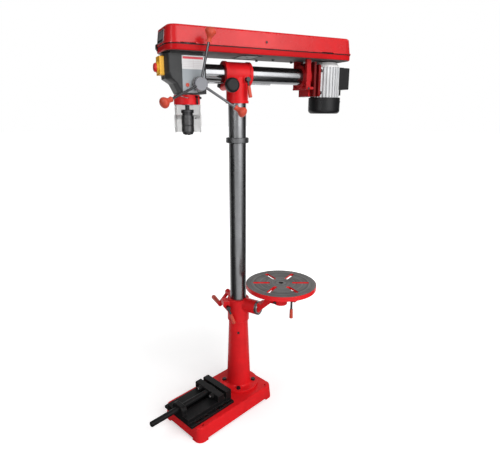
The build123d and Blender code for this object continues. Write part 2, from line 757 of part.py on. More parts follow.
with BuildPart() as vise_screw:
    screw_front = vise_front - VISE_SCREW_OUT
    long_bar(VISE_SCREW_R, screw_front, jaw_front + VISE_SCREW_SEAT - SEAT_GAP, screw_z, VISE_X)
    chamfer(vise_screw.edges().filter_by(GeomType.CIRCLE), VISE_SCREW_R / 6)
    cross_bar(VISE_CROSS_HOLE_R, VISE_X - VISE_SCREW_R, VISE_X + VISE_SCREW_R,
              screw_front + 3 * VISE_CROSS_HOLE_R, screw_z, mode=Mode.SUBTRACT)

# Table bracket, rack, gear and crank

lift_gear_reach = RACK_PITCH_R + LIFT_GEAR_R
lift_gear_tip = LIFT_GEAR_R + TOOTH_ADDENDUM * rack_module
lift_gear_z = CRANK_Z - lift_gear_tip - WORM_R - FREE_GAP
pocket_reach = lift_gear_reach + lift_gear_tip + FREE_GAP
pocket_half = LIFT_GEAR_WIDTH / 2 + 2 * FREE_GAP
housing_reach = pocket_reach + HOUSING_WALL
housing_half = max(pocket_half, WORM_R) + HOUSING_WALL
gear_side = radial(RACK_ANGLE)

with BuildPart() as table_rack:
    rack_in = COLUMN_R + SEAT_GAP
    rack_low = PEDESTAL_TOP + SEAT_GAP
    rack_high = RING_BOTTOM + RING_RECESS - SEAT_GAP
    with BuildSketch(gear_side):
        with BuildLine():
            teeth = rack_points(rack_low, rack_high, lift_gear_z, rack_module)
            Polyline((rack_in, rack_low), *[(RACK_PITCH_R + h, z) for z, h in teeth],
                     (rack_in, rack_high), close=True)
        make_face()
    extrude(amount=RACK_WIDTH / 2, both=True)

clamp_out = out_along(LUG_ANGLE, CLAMP_R, CLAMP_Z)
clamp_axis = Plane(origin=clamp_out.origin, x_dir=clamp_out.z_dir, z_dir=clamp_out.x_dir)
clamp_seat = Plane(origin=clamp_axis.origin + clamp_axis.z_dir * (LUG_HALF + SEAT_GAP),
                   x_dir=clamp_axis.x_dir, z_dir=clamp_axis.z_dir)

with BuildPart() as table_bracket:
    post(BRACKET_R, BRACKET_BOTTOM, BRACKET_TOP)
    fillet(table_bracket.edges().filter_by(GeomType.CIRCLE), BRACKET_EDGE)
    cross_bar(TILT_BOSS_R, 0, TILT_BOSS_END, 0, TILT_Z)
    with BuildSketch(level(lift_gear_z - lift_gear_tip - HOUSING_WALL)):
        with PolarLocations(housing_reach / 2, 1, start_angle=RACK_ANGLE):
            Rectangle(housing_reach, 2 * housing_half)
    extrude(amount=BRACKET_TOP - BRACKET_EDGE - (lift_gear_z - lift_gear_tip - HOUSING_WALL))
    with BuildSketch(out_along(RACK_ANGLE, housing_reach, CRANK_Z)):
        Circle(2 * CRANK_SHAFT_R)
    extrude(amount=HOUSING_BOSS)
    with BuildSketch(radial(LUG_ANGLE)):
        with BuildLine():
            Polyline((0, LUG_BOTTOM), (BRACKET_R, LUG_BOTTOM), (LUG_REACH, LUG_TOP - LUG_END),
                     (LUG_REACH, LUG_TOP), (0, LUG_TOP), close=True)
        make_face()
    extrude(amount=LUG_HALF, both=True)
    bore_top = max(BRACKET_TOP, TILT_Z + TILT_BOSS_R)
    post(COLUMN_R + RUN_FIT, BRACKET_BOTTOM, bore_top, mode=Mode.SUBTRACT)
    with BuildSketch(level(BRACKET_BOTTOM)):
        with PolarLocations(rack_tip_r / 2, 1, start_angle=RACK_ANGLE):
            Rectangle(rack_tip_r + 2 * FREE_GAP, RACK_WIDTH + 2 * FREE_GAP)
        with PolarLocations(LUG_REACH / 2, 1, start_angle=LUG_ANGLE):
            Rectangle(LUG_REACH, LUG_SLIT)
    extrude(amount=BRACKET_TOP - BRACKET_BOTTOM, mode=Mode.SUBTRACT)
    with BuildSketch(level(lift_gear_z - lift_gear_tip - FREE_GAP)):
        with PolarLocations(pocket_reach / 2, 1, start_angle=RACK_ANGLE):
            Rectangle(pocket_reach, 2 * pocket_half)
    extrude(amount=CRANK_Z + WORM_R - (lift_gear_z - lift_gear_tip) + 2 * FREE_GAP, mode=Mode.SUBTRACT)
    with BuildSketch(out_along(RACK_ANGLE, pocket_reach, CRANK_Z)):
        Circle(CRANK_SHAFT_R + RUN_FIT)
    extrude(amount=HOUSING_WALL + HOUSING_BOSS, mode=Mode.SUBTRACT)
    with BuildSketch(gear_side):
        with Locations((lift_gear_reach, lift_gear_z)):
            Circle(LIFT_GEAR_PIN_R + RUN_FIT)
    extrude(amount=pocket_half + HOUSING_WALL / 2, both=True, mode=Mode.SUBTRACT)
    cross_bar(TILT_PIN_R + RUN_FIT, TILT_PIN_START - FREE_GAP, TILT_BOSS_END, 0, TILT_Z, mode=Mode.SUBTRACT)
    with BuildSketch(clamp_axis):
        Circle(STUD_R + RUN_FIT)
    extrude(amount=LUG_HALF, both=True, mode=Mode.SUBTRACT)

with BuildPart() as elevation_gear:
    with BuildSketch(gear_side):
        with BuildLine():
            Polyline(*[(lift_gear_reach + x, lift_gear_z + z)
                       for x, z in wheel_points(LIFT_GEAR_TEETH, LIFT_GEAR_R, 180)], close=True)
        make_face()
    extrude(amount=LIFT_GEAR_WIDTH / 2, both=True)
    with BuildSketch(gear_side):
        with Locations((lift_gear_reach, lift_gear_z)):
            Circle(LIFT_GEAR_PIN_R)
    extrude(amount=pocket_half + HOUSING_WALL / 2 - FREE_GAP, both=True)

crank_face = out_along(RACK_ANGLE, housing_reach + HOUSING_BOSS + SEAT_GAP, CRANK_Z)
arm_way = crank_face.x_dir * cos(radians(CRANK_ARM_ANGLE)) + crank_face.y_dir * sin(radians(CRANK_ARM_ANGLE))
arm_root = crank_face.origin + crank_face.z_dir * (CRANK_HUB_WIDTH / 2)
arm_end = arm_root + arm_way * CRANK_ARM
grip_face = Plane(origin=arm_end + crank_face.z_dir * CRANK_BOSS_R, z_dir=crank_face.z_dir)

with BuildPart() as table_crank:
    with BuildSketch(out_along(RACK_ANGLE, rack_tip_r + 2 * FREE_GAP, CRANK_Z)):
        Circle(WORM_R)
    extrude(amount=pocket_reach - rack_tip_r)
    with BuildSketch(out_along(RACK_ANGLE, pocket_reach + FREE_GAP, CRANK_Z)):
        Circle(CRANK_SHAFT_R)
    extrude(amount=HOUSING_WALL + HOUSING_BOSS)
    with BuildSketch(crank_face):
        Circle(CRANK_HUB_R)
    extrude(amount=CRANK_HUB_WIDTH)
    with BuildSketch(Plane(origin=arm_root, z_dir=arm_way)):
        Circle(CRANK_ARM_R)
    extrude(amount=CRANK_ARM)
    with BuildSketch(Plane(origin=arm_end - crank_face.z_dir * CRANK_BOSS_R, z_dir=crank_face.z_dir)):
        Circle(CRANK_BOSS_R)
    extrude(amount=2 * CRANK_BOSS_R)

with BuildPart() as crank_grip:
    with BuildSketch(grip_face):
        Circle(CRANK_GRIP_R - 1)
    grip = extrude(amount=CRANK_GRIP, taper=-1)
    fillet(grip.edges().filter_by(GeomType.CIRCLE), CRANK_GRIP_R / 3)

with BuildPart() as table_clamp_lever:
    clamp_lever(clamp_seat, 2 * LUG_HALF, CLAMP_LEVER_ANGLE, CLAMP_LEVER_LEAN, CLAMP_ROD)

with BuildPart() as table_clamp_grip:
    lever_grip(clamp_seat, CLAMP_LEVER_ANGLE, CLAMP_LEVER_LEAN, CLAMP_ROD, CLAMP_GRIP)

# Table arm and table

arm_start = TILT_BOSS_END + SEAT_GAP + TILT_RING
table_under = TABLE_TOP - TABLE_THICK
hub_top = table_under - TABLE_HUB - SEAT_GAP
table_lug_half = TABLE_LUG_WIDTH / 2
table_clamp_x = TABLE_REACH + TABLE_CLAMP_REACH

with BuildPart() as table_arm:
    with BuildSketch(end_on(0)):
        with BuildLine():
            Polyline((arm_start, TILT_Z + TILT_BOSS_R - ARM_ROOT),
                     (TABLE_REACH - ARM_HUB_R - ARM_EDGE, ARM_HUB_BOTTOM), (TABLE_REACH, ARM_HUB_BOTTOM),
                     (TABLE_REACH, hub_top), (TABLE_REACH - ARM_HUB_R, hub_top),
                     (arm_start + 2 * ARM_EDGE, TILT_Z + TILT_BOSS_R),
                     (arm_start, TILT_Z + TILT_BOSS_R), close=True)
        make_face()
    extrude(amount=ARM_WIDTH / 2, both=True)
    fillet(table_arm.edges().filter_by(lambda e: 0.1 < abs(e.tangent_at(0.5).Z) < 0.9), ARM_EDGE)
    cross_bar(TILT_PIN_R, TILT_PIN_START, arm_start, 0, TILT_Z)
    post(ARM_HUB_R, ARM_HUB_BOTTOM, hub_top, x=TABLE_REACH)
    block((TABLE_REACH, TABLE_REACH + TABLE_LUG_REACH), (-table_lug_half, table_lug_half),
          (TABLE_CLAMP_Z - TABLE_LUG_HEIGHT / 2, TABLE_CLAMP_Z + TABLE_LUG_HEIGHT / 2))
    post(TABLE_STEM_R + RUN_FIT, ARM_HUB_BOTTOM, hub_top, x=TABLE_REACH, mode=Mode.SUBTRACT)
    block((TABLE_REACH, TABLE_REACH + TABLE_LUG_REACH), (-LUG_SLIT / 2, LUG_SLIT / 2),
          (ARM_HUB_BOTTOM, hub_top), mode=Mode.SUBTRACT)
    with BuildSketch(end_on(0)):
        with Locations((table_clamp_x, TABLE_CLAMP_Z)):
            Circle(STUD_R + RUN_FIT)
    extrude(amount=table_lug_half, both=True, mode=Mode.SUBTRACT)

with BuildPart() as tilt_scale_ring:
    cross_bar(TILT_BOSS_R, TILT_BOSS_END + SEAT_GAP, arm_start, 0, TILT_Z)
    chamfer(tilt_scale_ring.edges().filter_by(GeomType.CIRCLE), TILT_RING / 10)
    cross_bar(TILT_PIN_R, TILT_BOSS_END + SEAT_GAP, arm_start, 0, TILT_Z, mode=Mode.SUBTRACT)

with BuildPart() as table:
    post(TABLE_R, table_under, TABLE_TOP, x=TABLE_REACH)
    fillet(table.edges().filter_by(GeomType.CIRCLE), TABLE_THICK / 10)
    with BuildSketch(level(table_under)):
        with Locations((TABLE_REACH, 0)):
            with PolarLocations((TABLE_SLOT_IN + TABLE_SLOT_OUT) / 2, TABLE_SLOTS, TABLE_SLOT_ANGLE):
                SlotOverall(TABLE_SLOT_OUT - TABLE_SLOT_IN, TABLE_SLOT_WIDTH)
    extrude(amount=TABLE_THICK, mode=Mode.SUBTRACT)
    hub_r = min(TABLE_HUB_R, TABLE_SLOT_IN - 1)
    with BuildSketch(level(table_under)):
        with Locations((TABLE_REACH, 0)):
            Circle(TABLE_R - TABLE_RIM)
            Circle(hub_r, mode=Mode.SUBTRACT)
    extrude(amount=TABLE_THICK - TABLE_PLATE, mode=Mode.SUBTRACT)
    post(hub_r, table_under - TABLE_HUB, table_under, x=TABLE_REACH)
    post(TABLE_STEM_R, ARM_HUB_BOTTOM, table_under, x=TABLE_REACH)
    post(TABLE_HOLE_R, ARM_HUB_BOTTOM, TABLE_TOP, x=TABLE_REACH, mode=Mode.SUBTRACT)

table_seat = Plane(origin=(table_clamp_x, -table_lug_half - SEAT_GAP, TABLE_CLAMP_Z),
                   x_dir=(1, 0, 0), z_dir=(0, -1, 0))

with BuildPart() as table_lock_lever:
    clamp_lever(table_seat, TABLE_LUG_WIDTH, TABLE_LEVER_ANGLE, TABLE_LEVER_LEAN, TABLE_ROD)

with BuildPart() as table_lock_grip:
    lever_grip(table_seat, TABLE_LEVER_ANGLE, TABLE_LEVER_LEAN, TABLE_ROD, TABLE_GRIP)

# Column head and ram

ram_bottom = RAM_Z - RAM_R
ram_rack_pitch = ram_bottom - RAM_PINION_DROP
ram_module = 2 * RAM_PINION_R / RAM_PINION_TEETH
ram_pinion_z = ram_rack_pitch - RAM_PINION_R
ram_pinion_tip = RAM_PINION_R + TOOTH_ADDENDUM * ram_module
ram_rack_tip = ram_rack_pitch - TOOTH_ADDENDUM * ram_module
socket_top = COLUMN_TOP + SOCKET_ROOF

with BuildPart() as column_head:
    post(SOCKET_R, SOCKET_BOTTOM, RAM_Z)
    post(SOCKET_RING_R, SOCKET_BOTTOM, SOCKET_BOTTOM + SOCKET_RING)
    long_bar(SLEEVE_R, SLEEVE_FRONT, SLEEVE_BACK, RAM_Z)
    long_bar(SLEEVE_COLLAR_R, SLEEVE_FRONT, SLEEVE_FRONT + SLEEVE_COLLAR, RAM_Z)
    long_bar(SLEEVE_COLLAR_R, SLEEVE_BACK - SLEEVE_COLLAR, SLEEVE_BACK, RAM_Z)
    cross_bar(RAM_BOSS_R, RAM_BOSS_LEFT, RAM_BOSS_RIGHT, RAM_PINION_Y, ram_pinion_z)
    cross_bar(RAM_LOCK_BOSS_R, 0, RAM_LOCK_BOSS_RIGHT, RAM_LOCK_Y, RAM_LOCK_Z)
    with BuildSketch(side_on(0)):
        with BuildLine():
            Polyline((SLEEVE_FRONT + SLEEVE_COLLAR, RAM_Z - RAM_R), (-SOCKET_R + 2, socket_top),
                     (SOCKET_R - 2, socket_top), (SLEEVE_BACK - SLEEVE_COLLAR, RAM_Z - RAM_R), close=True)
        make_face()
    extrude(amount=SOCKET_R * 0.7, both=True)
    bore_front = min(SLEEVE_FRONT, RAM_PINION_Y - RAM_BOSS_R)
    long_bar(RAM_R + RUN_FIT, bore_front, SLEEVE_BACK, RAM_Z, mode=Mode.SUBTRACT)
    post(COLUMN_R + RUN_FIT, SOCKET_BOTTOM, socket_top, mode=Mode.SUBTRACT)
    channel_half = RAM_RACK_WIDTH / 2 + FREE_GAP
    block((-channel_half, channel_half), (bore_front, SLEEVE_BACK), (ram_rack_tip - FREE_GAP, RAM_Z),
          mode=Mode.SUBTRACT)
    pinion_half = RAM_PINION_WIDTH / 2 + FREE_GAP
    cross_bar(ram_pinion_tip + FREE_GAP, -pinion_half, pinion_half, RAM_PINION_Y, ram_pinion_z,
              mode=Mode.SUBTRACT)
    cross_bar(RAM_SHAFT_R + RUN_FIT, RAM_BOSS_LEFT, RAM_BOSS_RIGHT, RAM_PINION_Y, ram_pinion_z,
              mode=Mode.SUBTRACT)
    cross_bar(STUD_R + RUN_FIT, 0, RAM_LOCK_BOSS_RIGHT, RAM_LOCK_Y, RAM_LOCK_Z, mode=Mode.SUBTRACT)

knob_left = RAM_BOSS_RIGHT + SEAT_GAP

with BuildPart() as ram_pinion:
    with BuildSketch(side_on(-RAM_PINION_WIDTH / 2)):
        with BuildLine():
            Polyline(*[(RAM_PINION_Y + y, ram_pinion_z + z)
                       for y, z in wheel_points(RAM_PINION_TEETH, RAM_PINION_R, 90)], close=True)
        make_face()
    extrude(amount=RAM_PINION_WIDTH)
    cross_bar(RAM_SHAFT_R, RAM_BOSS_LEFT + FREE_GAP, knob_left + RAM_KNOB_SEAT, RAM_PINION_Y, ram_pinion_z)

with BuildPart() as ram_knob:
    cross_bar(RAM_KNOB_R, knob_left, knob_left + RAM_KNOB, RAM_PINION_Y, ram_pinion_z)
    fillet(ram_knob.edges().filter_by(GeomType.CIRCLE).group_by(Axis.X)[-1], RAM_KNOB / 2.6)
    fillet(ram_knob.edges().filter_by(GeomType.CIRCLE).group_by(Axis.X)[0], RAM_KNOB / 6)
    cross_bar(RAM_SHAFT_R, knob_left, knob_left + RAM_KNOB_SEAT, RAM_PINION_Y, ram_pinion_z,
              mode=Mode.SUBTRACT)

ram_lock_seat = Plane(origin=(RAM_LOCK_BOSS_RIGHT + SEAT_GAP, RAM_LOCK_Y, RAM_LOCK_Z),
                      x_dir=(0, 1, 0), z_dir=(1, 0, 0))

with BuildPart() as ram_lock_lever:
    clamp_lever(ram_lock_seat, RAM_STUD, RAM_LEVER_ANGLE, RAM_LEVER_LEAN, RAM_ROD)

with BuildPart() as ram_lock_grip:
    lever_grip(ram_lock_seat, RAM_LEVER_ANGLE, RAM_LEVER_LEAN, RAM_ROD, RAM_GRIP)

with BuildPart() as ram_tube:
    long_bar(RAM_R, RAM_FRONT, RAM_BACK, RAM_Z)
    long_bar(RAM_R - RAM_WALL, RAM_FRONT, RAM_BACK, RAM_Z, mode=Mode.SUBTRACT)
    block((-RAM_RACK_WIDTH / 2, RAM_RACK_WIDTH / 2), (RAM_RACK_FRONT, RAM_RACK_BACK),
          (ram_bottom - 1, ram_bottom + RAM_RACK_SINK), mode=Mode.SUBTRACT)

with BuildPart() as ram_rack:
    with BuildSketch(side_on(-RAM_RACK_WIDTH / 2)):
        with BuildLine():
            teeth = rack_points(RAM_RACK_FRONT, RAM_RACK_BACK, RAM_PINION_Y, ram_module)
            Polyline((RAM_RACK_FRONT, ram_bottom + RAM_RACK_SINK),
                     *[(y, ram_rack_pitch - h) for y, h in teeth],
                     (RAM_RACK_BACK, ram_bottom + RAM_RACK_SINK), close=True)
        make_face()
    extrude(amount=RAM_RACK_WIDTH)

# Drill head

feed_module = 2 * FEED_PINION_R / FEED_TEETH
feed_y = SPINDLE_Y + QUILL_RACK_R + FEED_PINION_R
feed_tip = FEED_PINION_R + TOOTH_ADDENDUM * feed_module


def head_outline(rise, side_back, nose_half, nose_back):
    """Level outline of the head casting at a height over its bottom."""
    with BuildSketch(level(HEAD_BOTTOM + rise)) as outline:
        with BuildLine():
            Polyline((-HEAD_HALF, HEAD_REAR), (HEAD_HALF, HEAD_REAR), (HEAD_HALF, HEAD_FRONT + side_back),
                     (nose_half, HEAD_FRONT + nose_back), (-nose_half, HEAD_FRONT + nose_back),
                     (-HEAD_HALF, HEAD_FRONT + side_back), close=True)
        make_face()
    return outline.sketch


with BuildPart() as head_casting:
    nose_outlines = [head_outline(*sizes) for sizes in HEAD_NOSE]
    loft(nose_outlines, ruled=True)
    extrude(nose_outlines[-1], amount=HEAD_TOP - HEAD_BOTTOM - HEAD_NOSE[-1][0])
    upright = head_casting.edges().filter_by(lambda e: abs(e.tangent_at(0.5).Z) > 0.5)
    fillet(upright.filter_by(lambda e: abs(e.center().X) > HEAD_HALF / 2 + HEAD_EDGE), HEAD_EDGE)
    block((HEAD_NECK_INSET - HEAD_HALF, HEAD_HALF - HEAD_NECK_INSET),
          (HEAD_FRONT + 2 * HEAD_NECK_INSET, HEAD_REAR - HEAD_NECK_INSET), (HEAD_TOP, COVER_BOTTOM))
    post(QUILL_R + RUN_FIT, HEAD_BOTTOM, PULLEY_SLEEVE_BOTTOM - FREE_GAP, SPINDLE_Y, mode=Mode.SUBTRACT)
    post(PULLEY_SLEEVE_R + RUN_FIT, HEAD_BOTTOM, COVER_BOTTOM, SPINDLE_Y, mode=Mode.SUBTRACT)
    long_bar(RAM_R + RUN_FIT, RAM_FRONT - FREE_GAP, HEAD_REAR, RAM_Z, mode=Mode.SUBTRACT)
    feed_pocket = FEED_PINION_WIDTH / 2 + FREE_GAP
    cross_bar(feed_tip + FREE_GAP, -feed_pocket, feed_pocket, feed_y, FEED_Z, mode=Mode.SUBTRACT)
    cross_bar(FEED_SHAFT_R + RUN_FIT, -HEAD_HALF, HEAD_HALF, feed_y, FEED_Z, mode=Mode.SUBTRACT)

with BuildPart() as quill:
    post(QUILL_R, QUILL_BOTTOM, QUILL_TOP, SPINDLE_Y)
    post(QUILL_BORE_R, QUILL_BOTTOM, QUILL_TOP, SPINDLE_Y, mode=Mode.SUBTRACT)
    post(BEARING_R, QUILL_BOTTOM, QUILL_BOTTOM + BEARING, SPINDLE_Y, mode=Mode.SUBTRACT)
    post(BEARING_R, QUILL_TOP - BEARING, QUILL_TOP, SPINDLE_Y, mode=Mode.SUBTRACT)
    with BuildSketch(side_on(-QUILL_R)):
        with BuildLine():
            teeth = rack_points(QUILL_RACK_BOTTOM, QUILL_TOP, FEED_Z, feed_module)
            rack_face = SPINDLE_Y + QUILL_RACK_R
            Polyline((rack_face + QUILL_R, QUILL_RACK_BOTTOM), *[(rack_face + h, z) for z, h in teeth],
                     (rack_face + QUILL_R, QUILL_TOP), close=True)
        make_face()
    extrude(amount=2 * QUILL_R, mode=Mode.SUBTRACT)

with BuildPart() as quill_bearings:
    for low in (QUILL_BOTTOM, QUILL_TOP - BEARING):
        turn([(SPINDLE_R + RUN_FIT, low), (BEARING_R, low), (BEARING_R, low + BEARING),
              (SPINDLE_R + RUN_FIT, low + BEARING)], y=SPINDLE_Y)

collar_low = QUILL_BOTTOM + BEARING + SEAT_GAP

with BuildPart() as spindle:
    turn([(0, CHUCK_TOP - ARBOR), (ARBOR_R, CHUCK_TOP - ARBOR), (ARBOR_R, CHUCK_TOP),
          (SPINDLE_NOSE_R, CHUCK_TOP), (SPINDLE_NOSE_R, QUILL_BOTTOM), (SPINDLE_R, QUILL_BOTTOM),
          (SPINDLE_R, collar_low), (SPINDLE_COLLAR_R, collar_low),
          (SPINDLE_COLLAR_R, collar_low + SPINDLE_COLLAR), (SPINDLE_R, collar_low + SPINDLE_COLLAR),
          (SPINDLE_R, SPINDLE_TOP), (0, SPINDLE_TOP)], y=SPINDLE_Y)

# Feed handle

with BuildPart() as feed_shaft:
    half = FEED_PINION_WIDTH / 2
    with BuildSketch(side_on(-half)):
        with BuildLine():
            Polyline(*[(feed_y + y, FEED_Z + z)
                       for y, z in wheel_points(FEED_TEETH, FEED_PINION_R, 180)], close=True)
        make_face()
    extrude(amount=FEED_PINION_WIDTH)
    cross_bar(FEED_SHAFT_R, -HEAD_HALF - SPRING_CAP / 2, -half, feed_y, FEED_Z)
    cross_bar(FEED_SHAFT_R, half, FEED_SHAFT_RIGHT, feed_y, FEED_Z)


def spoke_plane(index, start):
    """Plane across a spoke, at a distance along it from the hub's axis."""
    angle = radians(SPOKE_ANGLE + 360 * index / SPOKES)
    lean = radians(SPOKE_LEAN)
    way = Vector(sin(lean), cos(lean) * cos(angle), cos(lean) * sin(angle))
    return Plane(origin=Vector(SPOKE_ROOT_X, feed_y, FEED_Z) + way * start,
                 x_dir=(0, -sin(angle), cos(angle)), z_dir=way)


with BuildPart() as depth_dial:
    cross_bar(DIAL_R, DIAL_LEFT, DIAL_LEFT + DIAL, feed_y, FEED_Z)
    chamfer(depth_dial.edges().filter_by(GeomType.CIRCLE), DIAL / 8)
    cross_bar(FEED_SHAFT_R, DIAL_LEFT, DIAL_LEFT + DIAL, feed_y, FEED_Z, mode=Mode.SUBTRACT)

with BuildPart() as feed_hub:
    cross_bar(HUB_R, HUB_LEFT, HUB_RIGHT, feed_y, FEED_Z)
    fillet(feed_hub.edges().filter_by(GeomType.CIRCLE), HUB_R / 9)
    cross_bar(FEED_SHAFT_R, DIAL_LEFT + DIAL, FEED_SHAFT_RIGHT, feed_y, FEED_Z, mode=Mode.SUBTRACT)
    for index in range(SPOKES):
        with BuildSketch(spoke_plane(index, SPOKE_START)):
            Circle(SPOKE_R)
        extrude(amount=HUB_R, mode=Mode.SUBTRACT)

with BuildPart() as feed_spokes:
    for index in range(SPOKES):
        with BuildSketch(spoke_plane(index, SPOKE_START)):
            Circle(SPOKE_R)
        extrude(amount=SPOKE_END - SPOKE_START)

with BuildPart() as feed_knobs:
    for index in range(SPOKES):
        across = spoke_plane(index, 0)
        along = Plane(origin=across.origin, x_dir=across.x_dir, z_dir=across.y_dir)
        flare = KNOB_END - KNOB_HEAD_R * 0.9
        with BuildSketch(along):
            with BuildLine():
                Polyline((SPOKE_R, -SPOKE_END), (SPOKE_R, -KNOB_START), (KNOB_NECK_R, -KNOB_START),
                         (KNOB_NECK_R * 0.86, -KNOB_START - KNOB_NECK_R))
                Spline((KNOB_NECK_R * 0.86, -KNOB_START - KNOB_NECK_R), (KNOB_HEAD_R, -flare),
                       tangents=((0.1, -1), (0.25, -1)))
                Spline((KNOB_HEAD_R, -flare), (0, -KNOB_END), tangents=((0.25, -1), (-1, 0)))
                Polyline((0, -KNOB_END), (0, -SPOKE_END), (SPOKE_R, -SPOKE_END))
            make_face()
        revolve(axis=Axis(across.origin, across.z_dir))

with BuildPart() as spring_cap:
    cap_left = -HEAD_HALF - SPRING_CAP
    cross_bar(SPRING_CAP_R, cap_left, -HEAD_HALF, feed_y, FEED_Z)
    fillet(spring_cap.edges().filter_by(GeomType.CIRCLE).group_by(Axis.X)[0], SPRING_CAP_WALL)
    cross_bar(SPRING_CAP_R - SPRING_CAP_WALL, cap_left + SPRING_CAP_WALL, -HEAD_HALF, feed_y, FEED_Z,
              mode=Mode.SUBTRACT)

# Chuck

sleeve_top = CHUCK_TOP - CHUCK_FLANGE - CHUCK_NECK
sleeve_hollow_r = CHUCK_SLEEVE_R - CHUCK_SLEEVE_WALL
land_bottom = sleeve_top - CHUCK_SLEEVE_LAND
jaw_centre_r = JAW_GRIP_R + JAW_R / 2


def jaw_plane(index):
    """Plane across a jaw at its lower end."""
    angle = 2 * pi * index / JAWS
    lean = radians(JAW_LEAN)
    out = Vector(cos(angle), sin(angle), 0)
    up = out * sin(lean) + Vector(0, 0, cos(lean))
    return Plane(origin=Vector(0, SPINDLE_Y, JAW_TIP) + out * jaw_centre_r,
                 x_dir=Vector(-sin(angle), cos(angle), 0), z_dir=up)


with BuildPart() as chuck_body:
    turn([(0, CHUCK_TOP), (CHUCK_FLANGE_R, CHUCK_TOP), (CHUCK_FLANGE_R, CHUCK_TOP - CHUCK_FLANGE),
          (CHUCK_NECK_R, CHUCK_TOP - CHUCK_FLANGE), (CHUCK_NECK_R, sleeve_top + SEAT_GAP),
          (CHUCK_CORE_R, sleeve_top + SEAT_GAP), (CHUCK_CORE_R, CHUCK_CORE_BOTTOM), (0, CHUCK_CORE_BOTTOM)],
         y=SPINDLE_Y)
    fillet(chuck_body.edges().filter_by(GeomType.CIRCLE).sort_by(SortBy.RADIUS)[-2:], CHUCK_FLANGE / 6)
    post(ARBOR_R, CHUCK_TOP - ARBOR, CHUCK_TOP, SPINDLE_Y, mode=Mode.SUBTRACT)
    post(CHUCK_BORE_R, CHUCK_CORE_BOTTOM, CHUCK_TOP - ARBOR - CHUCK_NECK, SPINDLE_Y, mode=Mode.SUBTRACT)
    for index in range(JAWS):
        with BuildSketch(jaw_plane(index)):
            Circle(JAW_R + RUN_FIT)
        extrude(amount=JAW_LENGTH + 4 * JAW_R, mode=Mode.SUBTRACT)

with BuildPart() as chuck_sleeve:
    nose_top = CHUCK_SLEEVE_BOTTOM + CHUCK_NOSE
    groove_z = (land_bottom + nose_top) / 2
    turn([(CHUCK_MOUTH_R, CHUCK_SLEEVE_BOTTOM), (CHUCK_NOSE_R, CHUCK_SLEEVE_BOTTOM),
          (CHUCK_SLEEVE_R, nose_top),
          (CHUCK_SLEEVE_R, groove_z - CHUCK_GROOVE), (CHUCK_SLEEVE_R - CHUCK_GROOVE, groove_z),
          (CHUCK_SLEEVE_R, groove_z + CHUCK_GROOVE), (CHUCK_SLEEVE_R, sleeve_top),
          (CHUCK_CORE_R + RUN_FIT, sleeve_top), (CHUCK_CORE_R + RUN_FIT, land_bottom),
          (sleeve_hollow_r, land_bottom), (sleeve_hollow_r, CHUCK_CORE_BOTTOM),
          (CHUCK_MOUTH_R, CHUCK_CORE_BOTTOM)],
         y=SPINDLE_Y)


def make_jaw(index):
    """One chuck jaw: a leaning round bar with a hollow face for the shank."""
    with BuildPart() as jaw:
        with BuildSketch(jaw_plane(index)):
            Circle(JAW_R)
        extrude(amount=JAW_LENGTH)
        post(JAW_GRIP_R, JAW_TIP - 2 * JAW_R, CHUCK_TOP, SPINDLE_Y, mode=Mode.SUBTRACT)
    return jaw


chuck_jaws = [make_jaw(index) for index in range(JAWS)]

# Chuck guard

collar_roof = GUARD_COLLAR_TOP - GUARD_COLLAR_ROOF

with BuildPart() as guard_collar:
    turn([(QUILL_R + RUN_FIT, GUARD_COLLAR_BOTTOM), (GUARD_HUB_R, GUARD_COLLAR_BOTTOM),
          (GUARD_HUB_R, collar_roof),
          (GUARD_COLLAR_R - GUARD_COLLAR_SKIRT, collar_roof),
          (GUARD_COLLAR_R - GUARD_COLLAR_SKIRT, GUARD_COLLAR_BOTTOM), (GUARD_COLLAR_R, GUARD_COLLAR_BOTTOM),
          (GUARD_COLLAR_R, GUARD_COLLAR_TOP), (QUILL_R + RUN_FIT, GUARD_COLLAR_TOP)], y=SPINDLE_Y)


def guard_channel(inside, low, high):
    """Clear channel, open to the right, with its inner faces at that distance from the spindle's axis."""
    with BuildSketch(level(low)) as outline:
        with BuildLine():
            front = SPINDLE_Y - inside
            back = SPINDLE_Y + inside
            Polyline((GUARD_REACH, front), (GUARD_REACH, front - GUARD_WALL),
                     (-inside - GUARD_WALL, front - GUARD_WALL),
                     (-inside - GUARD_WALL, back + GUARD_WALL), (GUARD_REACH, back + GUARD_WALL),
                     (GUARD_REACH, back), (-inside, back), (-inside, front), close=True)
        make_face()
    extrude(outline.sketch, amount=high - low)


with BuildPart() as guard_upper:
    guard_channel(GUARD_INSIDE, GUARD_UPPER_BOTTOM, GUARD_COLLAR_BOTTOM)

with BuildPart() as guard_lower:
    guard_channel(GUARD_INSIDE + GUARD_WALL + SEAT_GAP, GUARD_LOWER_BOTTOM, GUARD_LOWER_TOP)

# Belt housing

cover_length = COVER_BACK - COVER_FRONT
cover_middle = (COVER_BACK + COVER_FRONT) / 2
hinge_x = -COVER_HALF - LID_LIP - SEAT_GAP - HINGE_R
lid_low = COVER_SPLIT + SEAT_GAP


def cover_outline(z, grow):
    """Rounded outline of the belt housing, grown by a distance."""
    with BuildSketch(level(z)) as outline:
        with Locations((0, cover_middle)):
            RectangleRounded(2 * (COVER_HALF + grow), cover_length + 2 * grow, COVER_CORNER + grow)
    return outline.sketch


def knuckle(y, low, high, radius, mode=Mode.ADD):
    """Round part of a hinge, between two distances from its middle."""
    long_bar(radius, y + low, y + high, COVER_SPLIT, hinge_x, mode=mode)


